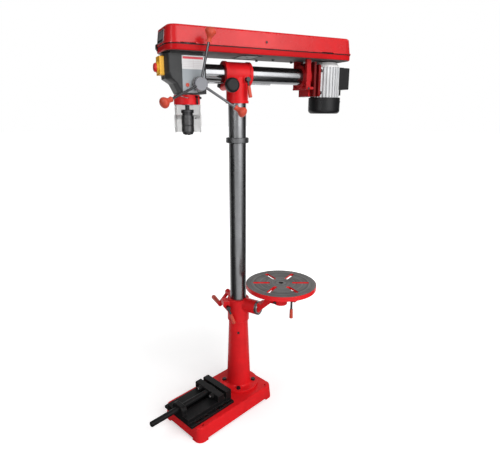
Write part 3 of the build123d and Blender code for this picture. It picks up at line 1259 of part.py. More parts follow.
with BuildPart() as belt_tray:
    extrude(cover_outline(COVER_BOTTOM, 0), amount=COVER_SPLIT - COVER_BOTTOM)
    fillet(belt_tray.faces().sort_by(Axis.Z)[0].edges(), COVER_EDGE / 2)
    extrude(cover_outline(COVER_BOTTOM + COVER_WALL, -COVER_WALL),
            amount=COVER_SPLIT - COVER_BOTTOM - COVER_WALL, mode=Mode.SUBTRACT)
    post(PULLEY_SLEEVE_R + 2, COVER_BOTTOM, COVER_SPLIT, SPINDLE_Y, mode=Mode.SUBTRACT)
    with BuildSketch(level(COVER_BOTTOM)):
        with Locations((0, MOTOR_Y - MOTOR_SLACK / 2)):
            SlotOverall(MOTOR_SLACK + 3 * MOTOR_SHAFT_R, 3 * MOTOR_SHAFT_R, rotation=90)
    extrude(amount=COVER_WALL, mode=Mode.SUBTRACT)
    for hinge in HINGE_Y:
        block((hinge_x, -COVER_HALF), (hinge - HINGE_KNUCKLE / 2, hinge + HINGE_KNUCKLE / 2),
              (COVER_SPLIT - HINGE_LEAF, COVER_SPLIT - SEAT_GAP))
        knuckle(hinge, -HINGE_KNUCKLE / 2, HINGE_KNUCKLE / 2, HINGE_R)
        knuckle(hinge, -1.5 * HINGE_KNUCKLE, 1.5 * HINGE_KNUCKLE, HINGE_PIN_R)

with BuildPart() as belt_lid:
    extrude(cover_outline(lid_low, 0), amount=COVER_TOP - lid_low, taper=COVER_DRAFT)
    fillet(belt_lid.faces().sort_by(Axis.Z)[-1].edges(), COVER_EDGE)
    extrude(cover_outline(lid_low, LID_LIP), amount=LID_LIP_HEIGHT)
    hollow = extrude(cover_outline(lid_low, -COVER_WALL), amount=COVER_TOP - lid_low - COVER_WALL,
                     taper=COVER_DRAFT, mode=Mode.PRIVATE)
    hollow_rim = hollow.faces().sort_by(Axis.Z)[-1].edges()
    add(hollow.fillet(COVER_EDGE - COVER_WALL, hollow_rim), mode=Mode.SUBTRACT)
    for notch in LID_NOTCH_Y:
        block((COVER_HALF - COVER_CORNER / 2, COVER_HALF + LID_LIP),
              (notch - LID_NOTCH_LENGTH / 2, notch + LID_NOTCH_LENGTH / 2), (lid_low, lid_low + LID_NOTCH),
              mode=Mode.SUBTRACT)
    for hinge in HINGE_Y:
        for side in (-1, 1):
            near = side * (HINGE_KNUCKLE / 2 + FREE_GAP)
            far = side * (1.5 * HINGE_KNUCKLE - FREE_GAP)
            low, high = min(near, far), max(near, far)
            block((hinge_x, COVER_WALL - COVER_HALF - LID_LIP_HEIGHT / 2), (hinge + low, hinge + high),
                  (lid_low, COVER_SPLIT + LID_LIP_HEIGHT))
            knuckle(hinge, low, high, HINGE_R)
            knuckle(hinge, low, high, HINGE_PIN_R + RUN_FIT, mode=Mode.SUBTRACT)

# Belt drive

belt_half_top = BELT_TOP_WIDTH / 2
belt_half_bottom = BELT_BOTTOM_WIDTH / 2
belt_slope = (belt_half_top - belt_half_bottom) / BELT_HEIGHT
belt_z = PULLEY_BOTTOM + (BELT_STEP + 0.5) * PULLEY_STEP
pulley_top = PULLEY_BOTTOM + PULLEY_STEPS * PULLEY_STEP


def pulley_points(radii, bore_r, foot_r, foot_z):
    """Profile of a step pulley with a belt groove in each step, and its hub below."""
    rim = belt_half_top + BELT_SINK * belt_slope + GROOVE_GAP
    depth = BELT_SINK + BELT_HEIGHT + GROOVE_GAP
    floor = rim - depth * belt_slope
    points = [(bore_r, foot_z), (foot_r, foot_z), (foot_r, PULLEY_BOTTOM)]
    for step, radius in enumerate(radii):
        low = PULLEY_BOTTOM + step * PULLEY_STEP
        middle = low + PULLEY_STEP / 2
        points += [(radius, low), (radius, middle - rim), (radius - depth, middle - floor),
                   (radius - depth, middle + floor), (radius, middle + rim), (radius, low + PULLEY_STEP)]
    return points + [(bore_r, pulley_top)]


rises = [STEP_RISE * step for step in range(PULLEY_STEPS)]
spindle_radii = [SPINDLE_PULLEY_R + rise for rise in reversed(rises)]
motor_radii = [MOTOR_PULLEY_R + rise for rise in rises]

with BuildPart() as spindle_pulley:
    turn(pulley_points(spindle_radii, SPINDLE_R + RUN_FIT, PULLEY_SLEEVE_R, PULLEY_SLEEVE_BOTTOM),
         y=SPINDLE_Y)

with BuildPart() as motor_pulley:
    turn(pulley_points(motor_radii, MOTOR_SHAFT_R, 1.4 * MOTOR_SHAFT_R, COVER_BOTTOM + COVER_WALL), y=MOTOR_Y)

belt_in = BELT_SINK + BELT_HEIGHT
spindle_belt_r = spindle_radii[BELT_STEP] - belt_in
motor_belt_r = motor_radii[BELT_STEP] - belt_in
belt_lean = asin((spindle_belt_r - motor_belt_r) / (MOTOR_Y - SPINDLE_Y))


def belt_point(y, radius, side):
    """Where the belt's inner face leaves a pulley."""
    return (side * radius * cos(belt_lean), y + radius * sin(belt_lean), belt_z)


with BuildPart() as v_belt:
    with BuildLine() as belt_path:
        Line(belt_point(SPINDLE_Y, spindle_belt_r, 1), belt_point(MOTOR_Y, motor_belt_r, 1))
        ThreePointArc(belt_point(MOTOR_Y, motor_belt_r, 1), (0, MOTOR_Y + motor_belt_r, belt_z),
                      belt_point(MOTOR_Y, motor_belt_r, -1))
        Line(belt_point(MOTOR_Y, motor_belt_r, -1), belt_point(SPINDLE_Y, spindle_belt_r, -1))
        ThreePointArc(belt_point(SPINDLE_Y, spindle_belt_r, -1), (0, SPINDLE_Y - spindle_belt_r, belt_z),
                      belt_point(SPINDLE_Y, spindle_belt_r, 1))
    with BuildSketch(Plane(origin=belt_point(SPINDLE_Y, spindle_belt_r, 1),
                           x_dir=(cos(belt_lean), sin(belt_lean), 0),
                           z_dir=(-sin(belt_lean), cos(belt_lean), 0))):
        with BuildLine():
            Polyline((0, -belt_half_bottom), (BELT_HEIGHT, -belt_half_top), (BELT_HEIGHT, belt_half_top),
                     (0, belt_half_bottom), close=True)
        make_face()
    sweep(path=belt_path.wires()[0])

# Motor and its mount

plate_front = MOUNT_BACK + MOTOR_SLACK
plate_back = plate_front + PLATE

with BuildPart() as motor_mount:
    long_bar(MOUNT_COLLAR_R, MOUNT_COLLAR_FRONT, MOUNT_BACK, RAM_Z)
    block((-MOUNT_HALF, MOUNT_HALF), (MOUNT_BACK - MOUNT_PLATE, MOUNT_BACK), (MOUNT_BOTTOM, HEAD_TOP))
    block((-MOUNT_HALF, MOUNT_CHEEK - MOUNT_HALF), (MOUNT_FRONT, MOUNT_BACK),
          (MOUNT_SHELF_BOTTOM, COVER_BOTTOM))
    block((MOUNT_HALF - MOUNT_CHEEK, MOUNT_HALF), (MOUNT_COLLAR_FRONT, MOUNT_COLLAR_FRONT + MOUNT_RIB),
          (MOUNT_SHELF_BOTTOM, COVER_BOTTOM))
    block((-MOUNT_HALF, MOUNT_HALF), (MOUNT_FRONT, MOUNT_BACK),
          (MOUNT_SHELF_BOTTOM, MOUNT_SHELF_BOTTOM + MOUNT_SHELF))
    block((-MOUNT_BOX_HALF, MOUNT_BOX_HALF), (MOUNT_BOX_FRONT, MOUNT_BACK),
          (MOUNT_BOTTOM, MOUNT_SHELF_BOTTOM))
    long_bar(RAM_R + RUN_FIT, MOUNT_COLLAR_FRONT, MOUNT_BACK, RAM_Z, mode=Mode.SUBTRACT)
    for side in (-1, 1):
        long_bar(ROD_R + RUN_FIT, MOUNT_BACK - ROD_IN - MOTOR_SLACK - FREE_GAP, MOUNT_BACK, ROD_Z,
                 side * ROD_X, mode=Mode.SUBTRACT)

with BuildPart() as motor_plate:
    block((-PLATE_HALF, PLATE_HALF), (plate_front, plate_back), (PLATE_BOTTOM, PLATE_TOP))
    fillet(motor_plate.edges().filter_by(Axis.Y), PLATE)
    for side in (-1, 1):
        long_bar(ROD_R, MOUNT_BACK - ROD_IN, plate_back, ROD_Z, side * ROD_X)

with BuildPart() as motor_body:
    with BuildSketch(level(MOTOR_BOTTOM + MOTOR_RIM)):
        with Locations((0, MOTOR_Y)):
            Circle(MOTOR_R)
            with PolarLocations((MOTOR_R + MOTOR_FIN_R) / 2 - MOTOR_FIN / 2, MOTOR_FINS):
                Rectangle(MOTOR_FIN_R - MOTOR_R + MOTOR_FIN, MOTOR_FIN)
    extrude(amount=MOTOR_TOP - MOTOR_BOTTOM - MOTOR_RIM)
    turn([(0, MOTOR_TOP), (MOTOR_R + 2, MOTOR_TOP), (MOTOR_R, MOTOR_TOP + MOTOR_RIM),
          (MOTOR_BELL_R, MOTOR_BELL_TOP), (0, MOTOR_BELL_TOP)], y=MOTOR_Y)
    post(FAN_COVER_R - FAN_COVER_WALL, MOTOR_BOTTOM, MOTOR_BOTTOM + MOTOR_RIM, MOTOR_Y)
    block((-MOTOR_PAD_HALF, MOTOR_PAD_HALF), (plate_back, MOTOR_Y), (MOTOR_PAD_BOTTOM, MOTOR_TOP))
    block((-BOX_HALF, BOX_HALF), (MOTOR_Y, BOX_FRONT), (BOX_BOTTOM, MOTOR_TOP))
    post(MOTOR_BORE_R, MOTOR_BOTTOM + MOTOR_RIM, MOTOR_TOP, MOTOR_Y, mode=Mode.SUBTRACT)
    post(MOTOR_SHAFT_R + RUN_FIT, MOTOR_BOTTOM, MOTOR_BELL_TOP, MOTOR_Y, mode=Mode.SUBTRACT)

with BuildPart() as fan_cover:
    cover_in = FAN_COVER_R - FAN_COVER_WALL
    post(FAN_COVER_R, FAN_COVER_BOTTOM, MOTOR_BOTTOM + MOTOR_RIM, MOTOR_Y)
    fillet(fan_cover.edges().filter_by(GeomType.CIRCLE).group_by(Axis.Z)[0], FAN_COVER_EDGE)
    with BuildSketch(level(FAN_COVER_BOTTOM + FAN_COVER_WALL)):
        with Locations((0, MOTOR_Y)):
            Circle(cover_in)
    hollow = extrude(amount=MOTOR_BOTTOM + MOTOR_RIM - FAN_COVER_BOTTOM - FAN_COVER_WALL, mode=Mode.PRIVATE)
    hollow = hollow.fillet(FAN_COVER_EDGE - FAN_COVER_WALL,
                           hollow.edges().filter_by(GeomType.CIRCLE).group_by(Axis.Z)[0])
    add(hollow, mode=Mode.SUBTRACT)
    with BuildSketch(level(FAN_COVER_BOTTOM)):
        with Locations((0, MOTOR_Y)):
            with PolarLocations(cover_in / 2, FAN_SLOTS):
                SlotOverall(cover_in / 2.4, FAN_COVER_WALL * 2)
    extrude(amount=FAN_COVER_WALL, mode=Mode.SUBTRACT)

fan_low = FAN_COVER_BOTTOM + FAN_COVER_EDGE + FAN_COVER_WALL
fan_high = MOTOR_BOTTOM - MOTOR_RIM

with BuildPart() as motor_rotor:
    post(MOTOR_SHAFT_R, fan_low, pulley_top, MOTOR_Y)
    post(ROTOR_R, MOTOR_BOTTOM + 2 * MOTOR_RIM, MOTOR_TOP - MOTOR_RIM, MOTOR_Y)
    post(FAN_R, fan_high - FAN_COVER_WALL, fan_high, MOTOR_Y)
    with BuildSketch(level(fan_low)):
        with Locations((0, MOTOR_Y)):
            with PolarLocations(FAN_R / 2, FAN_BLADES):
                Rectangle(FAN_R - MOTOR_SHAFT_R, FAN_COVER_WALL)
    extrude(amount=fan_high - fan_low)

with BuildPart() as terminal_box:
    block((-BOX_HALF, BOX_HALF), (BOX_FRONT, BOX_BACK), (BOX_BOTTOM, BOX_TOP))
    fillet(terminal_box.edges().filter_by(Axis.Y), BOX_EDGE)
    fillet(terminal_box.faces().sort_by(Axis.Y)[-1].edges(), BOX_EDGE / 2)
    post(GLAND_R, BOX_BOTTOM - GLAND, BOX_BOTTOM, BOX_FRONT + GLAND_R + BOX_EDGE)

# Switch

switch_front = HEAD_FRONT - SWITCH_DEPTH
flap_back = switch_front - SEAT_GAP
flap_front = flap_back - FLAP
flap_room = flap_front + FLAP_WALL
flap_hinge_y = flap_back - FLAP_HINGE_R
flap_hinge_z = SWITCH_TOP - FLAP_HINGE_R
stop_x = (SWITCH_LEFT + SWITCH_RIGHT) / 2

with BuildPart() as switch_box:
    block((SWITCH_LEFT, SWITCH_RIGHT), (switch_front, HEAD_FRONT), (SWITCH_BOTTOM, SWITCH_TOP))
    fillet(switch_box.edges().filter_by(Axis.Y), BOX_EDGE)
    long_bar(STOP_STEM_R + RUN_FIT, switch_front, switch_front + STOP_TRAVEL + FREE_GAP, STOP_Z, stop_x,
             mode=Mode.SUBTRACT)
    long_bar(START_R + RUN_FIT, switch_front, switch_front + START_DEPTH + START_OUT, START_Z, stop_x,
             mode=Mode.SUBTRACT)

with BuildPart() as switch_flap:
    block((SWITCH_LEFT, SWITCH_RIGHT), (flap_front, flap_back), (SWITCH_BOTTOM, SWITCH_TOP))
    fillet(switch_flap.edges().filter_by(Axis.Y), BOX_EDGE)
    block((SWITCH_LEFT + FLAP_WALL, SWITCH_RIGHT - FLAP_WALL), (flap_room, flap_back),
          (SWITCH_BOTTOM + FLAP_WALL, SWITCH_TOP - FLAP_WALL), mode=Mode.SUBTRACT)
    long_bar(STOP_STEM_R + 2 * FLAP_WALL, flap_room, flap_back, STOP_Z, stop_x)
    long_bar(STOP_STEM_R + RUN_FIT, flap_front, flap_back, STOP_Z, stop_x, mode=Mode.SUBTRACT)
    block((SWITCH_LEFT, SWITCH_RIGHT), (flap_hinge_y, flap_back), (flap_hinge_z, SWITCH_TOP),
          mode=Mode.SUBTRACT)
    cross_bar(FLAP_HINGE_R, SWITCH_LEFT + BOX_EDGE, SWITCH_RIGHT - BOX_EDGE, flap_hinge_y, flap_hinge_z)

with BuildPart() as estop_button:
    head_back = flap_front - STOP_TRAVEL - SEAT_GAP
    long_bar(STOP_R, head_back - STOP_HEAD, head_back, STOP_Z, stop_x)
    fillet(estop_button.edges().filter_by(GeomType.CIRCLE).group_by(Axis.Y)[0], STOP_HEAD / 2)
    long_bar(STOP_STEM_R, head_back, flap_back, STOP_Z, stop_x)

with BuildPart() as start_button:
    long_bar(START_R, switch_front - START_OUT, switch_front + START_DEPTH, START_Z, stop_x)

# Every piece at its place on the machine

table_place = Pos(0, COLUMN_Y, 0) * Rot(0, 0, TABLE_SWING)
head_place = Pos(0, COLUMN_Y, 0) * Rot(0, 0, HEAD_SWIVEL)
guard_place = head_place * Pos(0, SPINDLE_Y, 0) * Rot(0, 0, GUARD_SWING) * Pos(0, -SPINDLE_Y, 0)
as_drawn = Pos(0, 0, 0)

groups = [
    (as_drawn, {
        "base_casting": base_casting, "pedestal": pedestal, "pedestal_bolts": pedestal_bolts,
        "column_tube": column_tube, "rack_ring": rack_ring, "vise_body": vise_body, "vise_jaw": vise_jaw,
        "vise_screw": vise_screw}),
    (table_place, {
        "table_rack": table_rack, "table_bracket": table_bracket, "elevation_gear": elevation_gear,
        "table_crank": table_crank, "crank_grip": crank_grip, "table_clamp_lever": table_clamp_lever,
        "table_clamp_grip": table_clamp_grip, "table_arm": table_arm, "tilt_scale_ring": tilt_scale_ring,
        "table": table, "table_lock_lever": table_lock_lever, "table_lock_grip": table_lock_grip}),
    (head_place, {
        "column_head": column_head, "ram_pinion": ram_pinion, "ram_knob": ram_knob,
        "ram_lock_lever": ram_lock_lever, "ram_lock_grip": ram_lock_grip, "ram_tube": ram_tube,
        "ram_rack": ram_rack, "head_casting": head_casting, "quill": quill, "quill_bearings": quill_bearings,
        "spindle": spindle, "feed_shaft": feed_shaft, "depth_dial": depth_dial, "feed_hub": feed_hub,
        "feed_spokes": feed_spokes, "feed_knobs": feed_knobs, "spring_cap": spring_cap,
        "chuck_body": chuck_body, "chuck_sleeve": chuck_sleeve, "belt_tray": belt_tray,
        "belt_lid": belt_lid, "v_belt": v_belt,
        "spindle_pulley": spindle_pulley, "motor_pulley": motor_pulley, "motor_mount": motor_mount,
        "motor_plate": motor_plate, "motor_body": motor_body, "fan_cover": fan_cover,
        "motor_rotor": motor_rotor, "terminal_box": terminal_box, "switch_box": switch_box,
        "switch_flap": switch_flap,
        "estop_button": estop_button, "start_button": start_button}),
    (head_place, {f"chuck_jaw_{index + 1}": jaw for index, jaw in enumerate(chuck_jaws)}),
    (guard_place, {"guard_collar": guard_collar, "guard_upper": guard_upper, "guard_lower": guard_lower}),
]

os.makedirs("parts", exist_ok=True)
for place, pieces in groups:
    for name, piece in pieces.items():
        placed = piece.part.moved(place)
        placed.label = name
        export_step(placed, f"parts/{name}.step")
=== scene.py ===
import math

import bmesh
import bpy
from mathutils import Matrix, Vector
from mathutils.bvhtree import BVHTree


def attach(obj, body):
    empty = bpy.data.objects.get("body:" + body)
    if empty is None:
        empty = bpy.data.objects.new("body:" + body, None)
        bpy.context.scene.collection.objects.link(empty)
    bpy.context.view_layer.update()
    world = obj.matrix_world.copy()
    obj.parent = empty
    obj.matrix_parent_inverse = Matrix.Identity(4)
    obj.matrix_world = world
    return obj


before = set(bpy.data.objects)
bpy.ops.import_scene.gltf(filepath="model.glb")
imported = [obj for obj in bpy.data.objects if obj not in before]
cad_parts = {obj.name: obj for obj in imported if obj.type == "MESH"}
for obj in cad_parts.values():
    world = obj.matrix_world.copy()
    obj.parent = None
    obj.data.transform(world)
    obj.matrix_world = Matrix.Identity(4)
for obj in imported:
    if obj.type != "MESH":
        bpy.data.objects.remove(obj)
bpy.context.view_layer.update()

MM = 0.001

# Places that the CAD sets, in millimetres and degrees.
COLUMN_Y = 120
HEAD_SWIVEL = -20.4
TABLE_SWING = 12.6
GUARD_SWING = -23.5
SPINDLE_Y = -210
FEED_Y, FEED_Z = -182, 1422
MOTOR_Y, MOTOR_BELL_Z = 421, 1509
TABLE_REACH = 217
TABLE_TOP = 626
TABLE_BORE = 10.3
TILT_Z = 482
COVER_BOTTOM, COVER_SPLIT = 1534, 1557
COVER_FRONT, COVER_BACK = -303, 497
COVER_HALF, COVER_CORNER = 94, 42
HEAD_SIDE = 60
MOUNT_PLATE_Y = 322
BOX_FRONT, BOX_BOTTOM, BOX_TOP, BOX_HALF = 488, 1420, 1510, 40
VISE_X, VISE_Y = -2, -120
BASE_TOP = 66

# The side plate's print, as low and high bounds in the head's own frame, in millimetres.
FIELD_Z = (1474, 1521)
STRIP_Y, STRIP_Z = (-240, -163), (1509, 1517)
RULES_Y, RULES_Z = (-238, -166), (1479, 1506)
POST_Y = (-200.5, -199.5)
RULE_PITCH, RULE_SHARE = 6.0, 0.16

# How far past a machined or unpainted face its finish reaches, in millimetres.
FACE_DEPTH = 0.4

# The photograph's camera: place in metres, angles in degrees, focal length in millimetres.
CAMERA_PLACE = (1.2897, -1.1211, 1.3209)
CAMERA_AZIMUTH = 44.41
CAMERA_PITCH = 14.81
CAMERA_ROLL = 0.12
CAMERA_LENS = 30.59
SENSOR_WIDTH = 36
CLIP_END = 100

# The stage, in metres: the floor glows less close to the machine, so that its shadow shows.
FLOOR_SIZE = 60
FLOOR_GLOW_NEAR, FLOOR_GLOW_FAR = 0.42, 1.0
FLOOR_NEAR, FLOOR_FAR = 0.5, 2.2
AMBIENT = 0.26
MIDDLE = (0.0, 0.1, 0.9)

FRONT, BACK, NEAR, FAR, UP, DOWN = (0, -1, 0), (0, 1, 0), (1, 0, 0), (-1, 0, 0), (0, 0, 1), (0, 0, -1)


def standing(turn):
    """The place of a group that swings on the column, from its own frame in metres."""
    return moved(Matrix.Identity(4), y=COLUMN_Y) @ Matrix.Rotation(math.radians(turn), 4, "Z")


def moved(place, x=0.0, y=0.0, z=0.0):
    """A place shifted along its own axes, in millimetres."""
    return place @ Matrix.Translation((x * MM, y * MM, z * MM))


def point(place, x, y, z):
    """A point in millimetres of a group's own frame, in the row frame."""
    return place @ Vector((x * MM, y * MM, z * MM))


def way(place, direction):
    """A direction of a group's own frame, in the row frame."""
    return (place.to_3x3() @ Vector(direction)).normalized()


def on_circle(radius, degrees):
    """A point on a circle about the origin."""
    turn = math.radians(degrees)
    return radius * math.cos(turn), radius * math.sin(turn)


BASE = Matrix.Identity(4)
ALONG_X = Matrix(((0, 0, 1), (1, 0, 0), (0, 1, 0))).to_4x4()
HEAD = standing(HEAD_SWIVEL)
TABLE = standing(TABLE_SWING)
SPINDLE = moved(HEAD, y=SPINDLE_Y)
GUARD = SPINDLE @ Matrix.Rotation(math.radians(GUARD_SWING), 4, "Z")


# Shader helpers

class Wiring:
    """Adds nodes to one tree; a socket given as an input is linked, anything else is set."""

    def __init__(self, tree):
        self.tree = tree

    def plug(self, socket, value):
        if isinstance(value, bpy.types.NodeSocket):
            self.tree.links.new(value, socket)
        else:
            socket.default_value = value

    def add(self, kind, inputs=None, **settings):
        node = self.tree.nodes.new(kind)
        for label, value in settings.items():
            setattr(node, label, value)
        for label, value in (inputs or {}).items():
            self.plug(node.inputs[label], value)
        return node

    def math(self, operation, first, second=0.0):
        return self.add("ShaderNodeMath", {0: first, 1: second}, operation=operation).outputs[0]

    def span(self, value, low, high, to_low, to_high, smooth=False):
        ends = {"Value": value, "From Min": low, "From Max": high, "To Min": to_low, "To Max": to_high}
        kind = "SMOOTHSTEP" if smooth else "LINEAR"
        return self.add("ShaderNodeMapRange", ends, interpolation_type=kind, clamp=True).outputs["Result"]

    def mix(self, factor, first, second):
        """A colour between two."""
        return self.add("ShaderNodeMix", {0: factor, 6: first, 7: second}, data_type="RGBA").outputs[2]

    def mix_value(self, factor, first, second):
        return self.add("ShaderNodeMix", {0: factor, 2: first, 3: second}, data_type="FLOAT").outputs[0]

    def partly(self, mask, share, first, second):
        """The first colour, with a share of the second where the mask is."""
        return self.mix(self.math("MULTIPLY", mask, share), first, second)

    def toned(self, tone, colour, low, high):
        """A colour that a tone takes from a darker to a lighter shade."""
        return self.mix(tone, shade(colour, low), shade(colour, high))

    def noise(self, vector, scale, detail=3.0, rough=0.5):
        grain = {"Vector": vector, "Scale": scale, "Detail": detail, "Roughness": rough}
        return self.add("ShaderNodeTexNoise", grain).outputs["Fac"]

    def scaled(self, vector, factors):
        return self.add("ShaderNodeVectorMath", {0: vector, 1: factors}, operation="MULTIPLY").outputs[0]

    def length(self, vector):
        return self.add("ShaderNodeVectorMath", {0: vector}, operation="LENGTH").outputs["Value"]

    def parts(self, vector):
        return self.add("ShaderNodeSeparateXYZ", {0: vector}).outputs


def shade(colour, factor):
    """A colour made darker or lighter."""
    return tuple(min(1.0, part * factor) for part in colour[:3]) + (1.0,)


def grey(level):
    return (level, level, level, 1.0)


def new_group(name, inputs, outputs):
    """An empty shader group: its wiring, and its inputs and outputs by name."""
    tree = bpy.data.node_groups.new(name, "ShaderNodeTree")
    for label, kind, value in inputs:
        socket = tree.interface.new_socket(label, in_out="INPUT", socket_type=f"NodeSocket{kind}")
        if value is not None:
            socket.default_value = value
    for label, kind in outputs:
        tree.interface.new_socket(label, in_out="OUTPUT", socket_type=f"NodeSocket{kind}")
    wires = Wiring(tree)
    entry = wires.add("NodeGroupInput")
    leave = wires.add("NodeGroupOutput")
    return wires, entry.outputs, leave.inputs


def make_paint_film():
    """Sprayed paint: fine orange peel, the casting's skin under it, slow changes of tone, dust specks."""
    wires, given, out = new_group(
        "paint_film",
        [("Vector", "Vector", None), ("Peel Scale", "Float", 700.0), ("Casting", "Float", 0.5)],
        [("Height", "Float"), ("Tone", "Float"), ("Specks", "Float")])
    peel = wires.noise(given["Vector"], given["Peel Scale"], 2.0)
    skin = wires.noise(given["Vector"], 210.0, 4.0, 0.6)
    lumps = wires.noise(given["Vector"], 38.0, 2.0)
    rough = wires.math("MULTIPLY", wires.math("ADD", skin, lumps), given["Casting"])
    wires.plug(out["Height"], wires.math("ADD", wires.math("MULTIPLY", peel, 0.35), rough))
    tone = wires.noise(given["Vector"], 9.0, 4.0, 0.55)
    wires.plug(out["Tone"], wires.span(tone, 0.32, 0.68, 0.0, 1.0, True))
    specks = wires.noise(given["Vector"], 520.0, 1.0)
    wires.plug(out["Specks"], wires.span(specks, 0.70, 0.78, 0.0, 1.0))
    return wires.tree


def make_edge_finder():
    """Finds edges: a normal that rounds them, and a mask that is 1 where they are."""
    wires, given, out = new_group(
        "edge_finder", [("Radius", "Float", 0.0012)], [("Normal", "Vector"), ("Edge", "Float")])
    rounded = wires.add("ShaderNodeBevel", {"Radius": given["Radius"]}, samples=6).outputs[0]
    plain = wires.add("ShaderNodeNewGeometry").outputs["Normal"]
    same = wires.add("ShaderNodeVectorMath", {0: rounded, 1: plain}, operation="DOT_PRODUCT").outputs["Value"]
    wires.plug(out["Normal"], rounded)
    wires.plug(out["Edge"], wires.span(same, 0.80, 0.99, 1.0, 0.0))
    return wires.tree


def make_tool_marks():
    """Fine marks drawn out along one way, as grinding, turning or brushing leaves them."""
    wires, given, out = new_group(
        "tool_marks", [("Vector", "Vector", None), ("Stretch", "Vector", (1.0, 1.0, 1.0))],
        [("Height", "Float"), ("Tone", "Float")])
    fine = wires.noise(wires.scaled(given["Vector"], given["Stretch"]), 1.0, 4.0, 0.7)
    wires.plug(out["Height"], fine)
    slow = wires.noise(given["Vector"], 14.0, 3.0)
    wires.plug(out["Tone"], wires.span(wires.math("ADD", fine, slow), 0.7, 1.3, 0.0, 1.0))
    return wires.tree


def make_turned_rings():
    """Rings round the local Z axis, as a lathe leaves them on a face."""
    wires, given, out = new_group(
        "turned_rings", [("Vector", "Vector", None), ("Pitch", "Float", 2500.0)],
        [("Height", "Float"), ("Radius", "Float")])
    radius = wires.length(wires.scaled(given["Vector"], (1.0, 1.0, 0.0)))
    line = wires.add("ShaderNodeCombineXYZ", {"X": wires.math("MULTIPLY", radius, given["Pitch"])}).outputs[0]
    wires.plug(out["Height"], wires.noise(line, 1.0, 2.0, 0.6))
    wires.plug(out["Radius"], radius)
    return wires.tree


def make_tick_marks():
    """Lines round the local Z axis: the short ones by the count, and one long one for every five."""
    wires, given, out = new_group(
        "tick_marks", [("Vector", "Vector", None), ("Count", "Float", 60.0), ("Width", "Float", 0.16)],
        [("Short", "Float"), ("Long", "Float")])
    spot = wires.parts(given["Vector"])
    turn = wires.math("DIVIDE", wires.math("ARCTAN2", spot["Y"], spot["X"]), 2 * math.pi)
    above_zero = 1000.0
    for label, share in (("Short", 1.0), ("Long", 0.2)):
        count = wires.math("MULTIPLY", given["Count"], share)
        step = wires.math("FRACT", wires.math("ADD", wires.math("MULTIPLY", turn, count), above_zero))
        off = wires.math("ABSOLUTE", wires.math("SUBTRACT", step, 0.5))
        width = wires.math("MULTIPLY", given["Width"], share)
        wires.plug(out[label], wires.math("LESS_THAN", off, width))
    return wires.tree


PAINT_FILM = make_paint_film()
EDGE_FINDER = make_edge_finder()
TOOL_MARKS = make_tool_marks()
TURNED_RINGS = make_turned_rings()
TICK_MARKS = make_tick_marks()


class Finish:
    """One material: its Principled shader, its wiring and the rest-frame coordinates."""

    def __init__(self, name, **sockets):
        self.material = bpy.data.materials.new(name)
        self.material.use_nodes = True
        tree = self.material.node_tree
        self.wires = Wiring(tree)
        self.shader = tree.nodes["Principled BSDF"]
        for label, value in sockets.items():
            self.shader.inputs[label.replace("_", " ")].default_value = value
        self.spot = self.wires.add("ShaderNodeTexCoord").outputs["Object"]

    def use(self, tree, **inputs):
        node = self.wires.add("ShaderNodeGroup", node_tree=tree)
        for label, value in inputs.items():
            self.wires.plug(node.inputs[label.replace("_", " ")], value)
        return node.outputs

    def film(self, peel, casting):
        return self.use(PAINT_FILM, Vector=self.spot, Peel_Scale=peel, Casting=casting)

    def edges(self, radius):
        return self.use(EDGE_FINDER, Radius=radius)

    def local(self, place):
        """Coordinates in a group's own frame, in metres."""
        loose = place.inverted()
        return self.wires.add("ShaderNodeMapping", {
            "Vector": self.spot, "Location": loose.to_translation(),
            "Rotation": loose.to_euler("XYZ")}, vector_type="POINT").outputs[0]

    def feed(self, label, socket):
        self.wires.plug(self.shader.inputs[label], socket)

    def roughen(self, tone, low, high):
        """Roughness that a tone from 0 to 1 takes from one value to another."""
        self.feed("Roughness", self.wires.span(tone, 0.0, 1.0, low, high))

    def bump(self, height, strength, depth, normal=None):
        node = self.wires.add("ShaderNodeBump", {"Height": height, "Strength": strength, "Distance": depth})
        if normal is not None:
            self.wires.plug(node.inputs["Normal"], normal)
        self.feed("Normal", node.outputs[0])


# Finishes

RED = (0.72, 0.012, 0.016)
STEEL = (0.172, 0.174, 0.179)
RUBBED_PAINT = (0.9, 0.75, 0.72, 1.0)
# Nearly white: a painted highlight on the motor's end bell.
BELL_PAINTED_HIGHLIGHT = (0.92, 0.91, 0.91, 1.0)
PAINT_IOR, PLASTIC_IOR, GUARD_IOR = 1.5, 1.48, 1.45
ROUND_Z = (40.0, 40.0, 2600.0)
ROUND_RAM = (900.0, 900.0, 900.0)


def enamel(name, colour, roughness, peel=700.0, casting=0.4, depth=0.0004, gloss=0.3, edge=0.10,
           painted_highlight_above=None):
    """Paint over sheet steel or a casting, with a nearly white painted highlight above a height where one is
    given.
    """
    finish = Finish(name, IOR=PAINT_IOR, Specular_IOR_Level=gloss)
    wires = finish.wires
    film, edges = finish.film(peel, casting), finish.edges(0.0012)
    body = wires.toned(film["Tone"], colour, 0.88, 1.06)
    body = wires.partly(film["Specks"], 0.12, body, shade(colour, 0.55))
    # Above the given height the colour turns nearly white, as a painted highlight.
    if painted_highlight_above:
        high = wires.math("GREATER_THAN", wires.parts(finish.spot)["Z"], painted_highlight_above * MM)
        body = wires.mix(high, body, BELL_PAINTED_HIGHLIGHT)
    finish.feed("Base Color", wires.partly(edges["Edge"], edge, body, RUBBED_PAINT))
    finish.roughen(film["Tone"], roughness + 0.06, roughness - 0.04)
    finish.bump(film["Height"], 0.35, depth, edges["Normal"])
    return finish.material


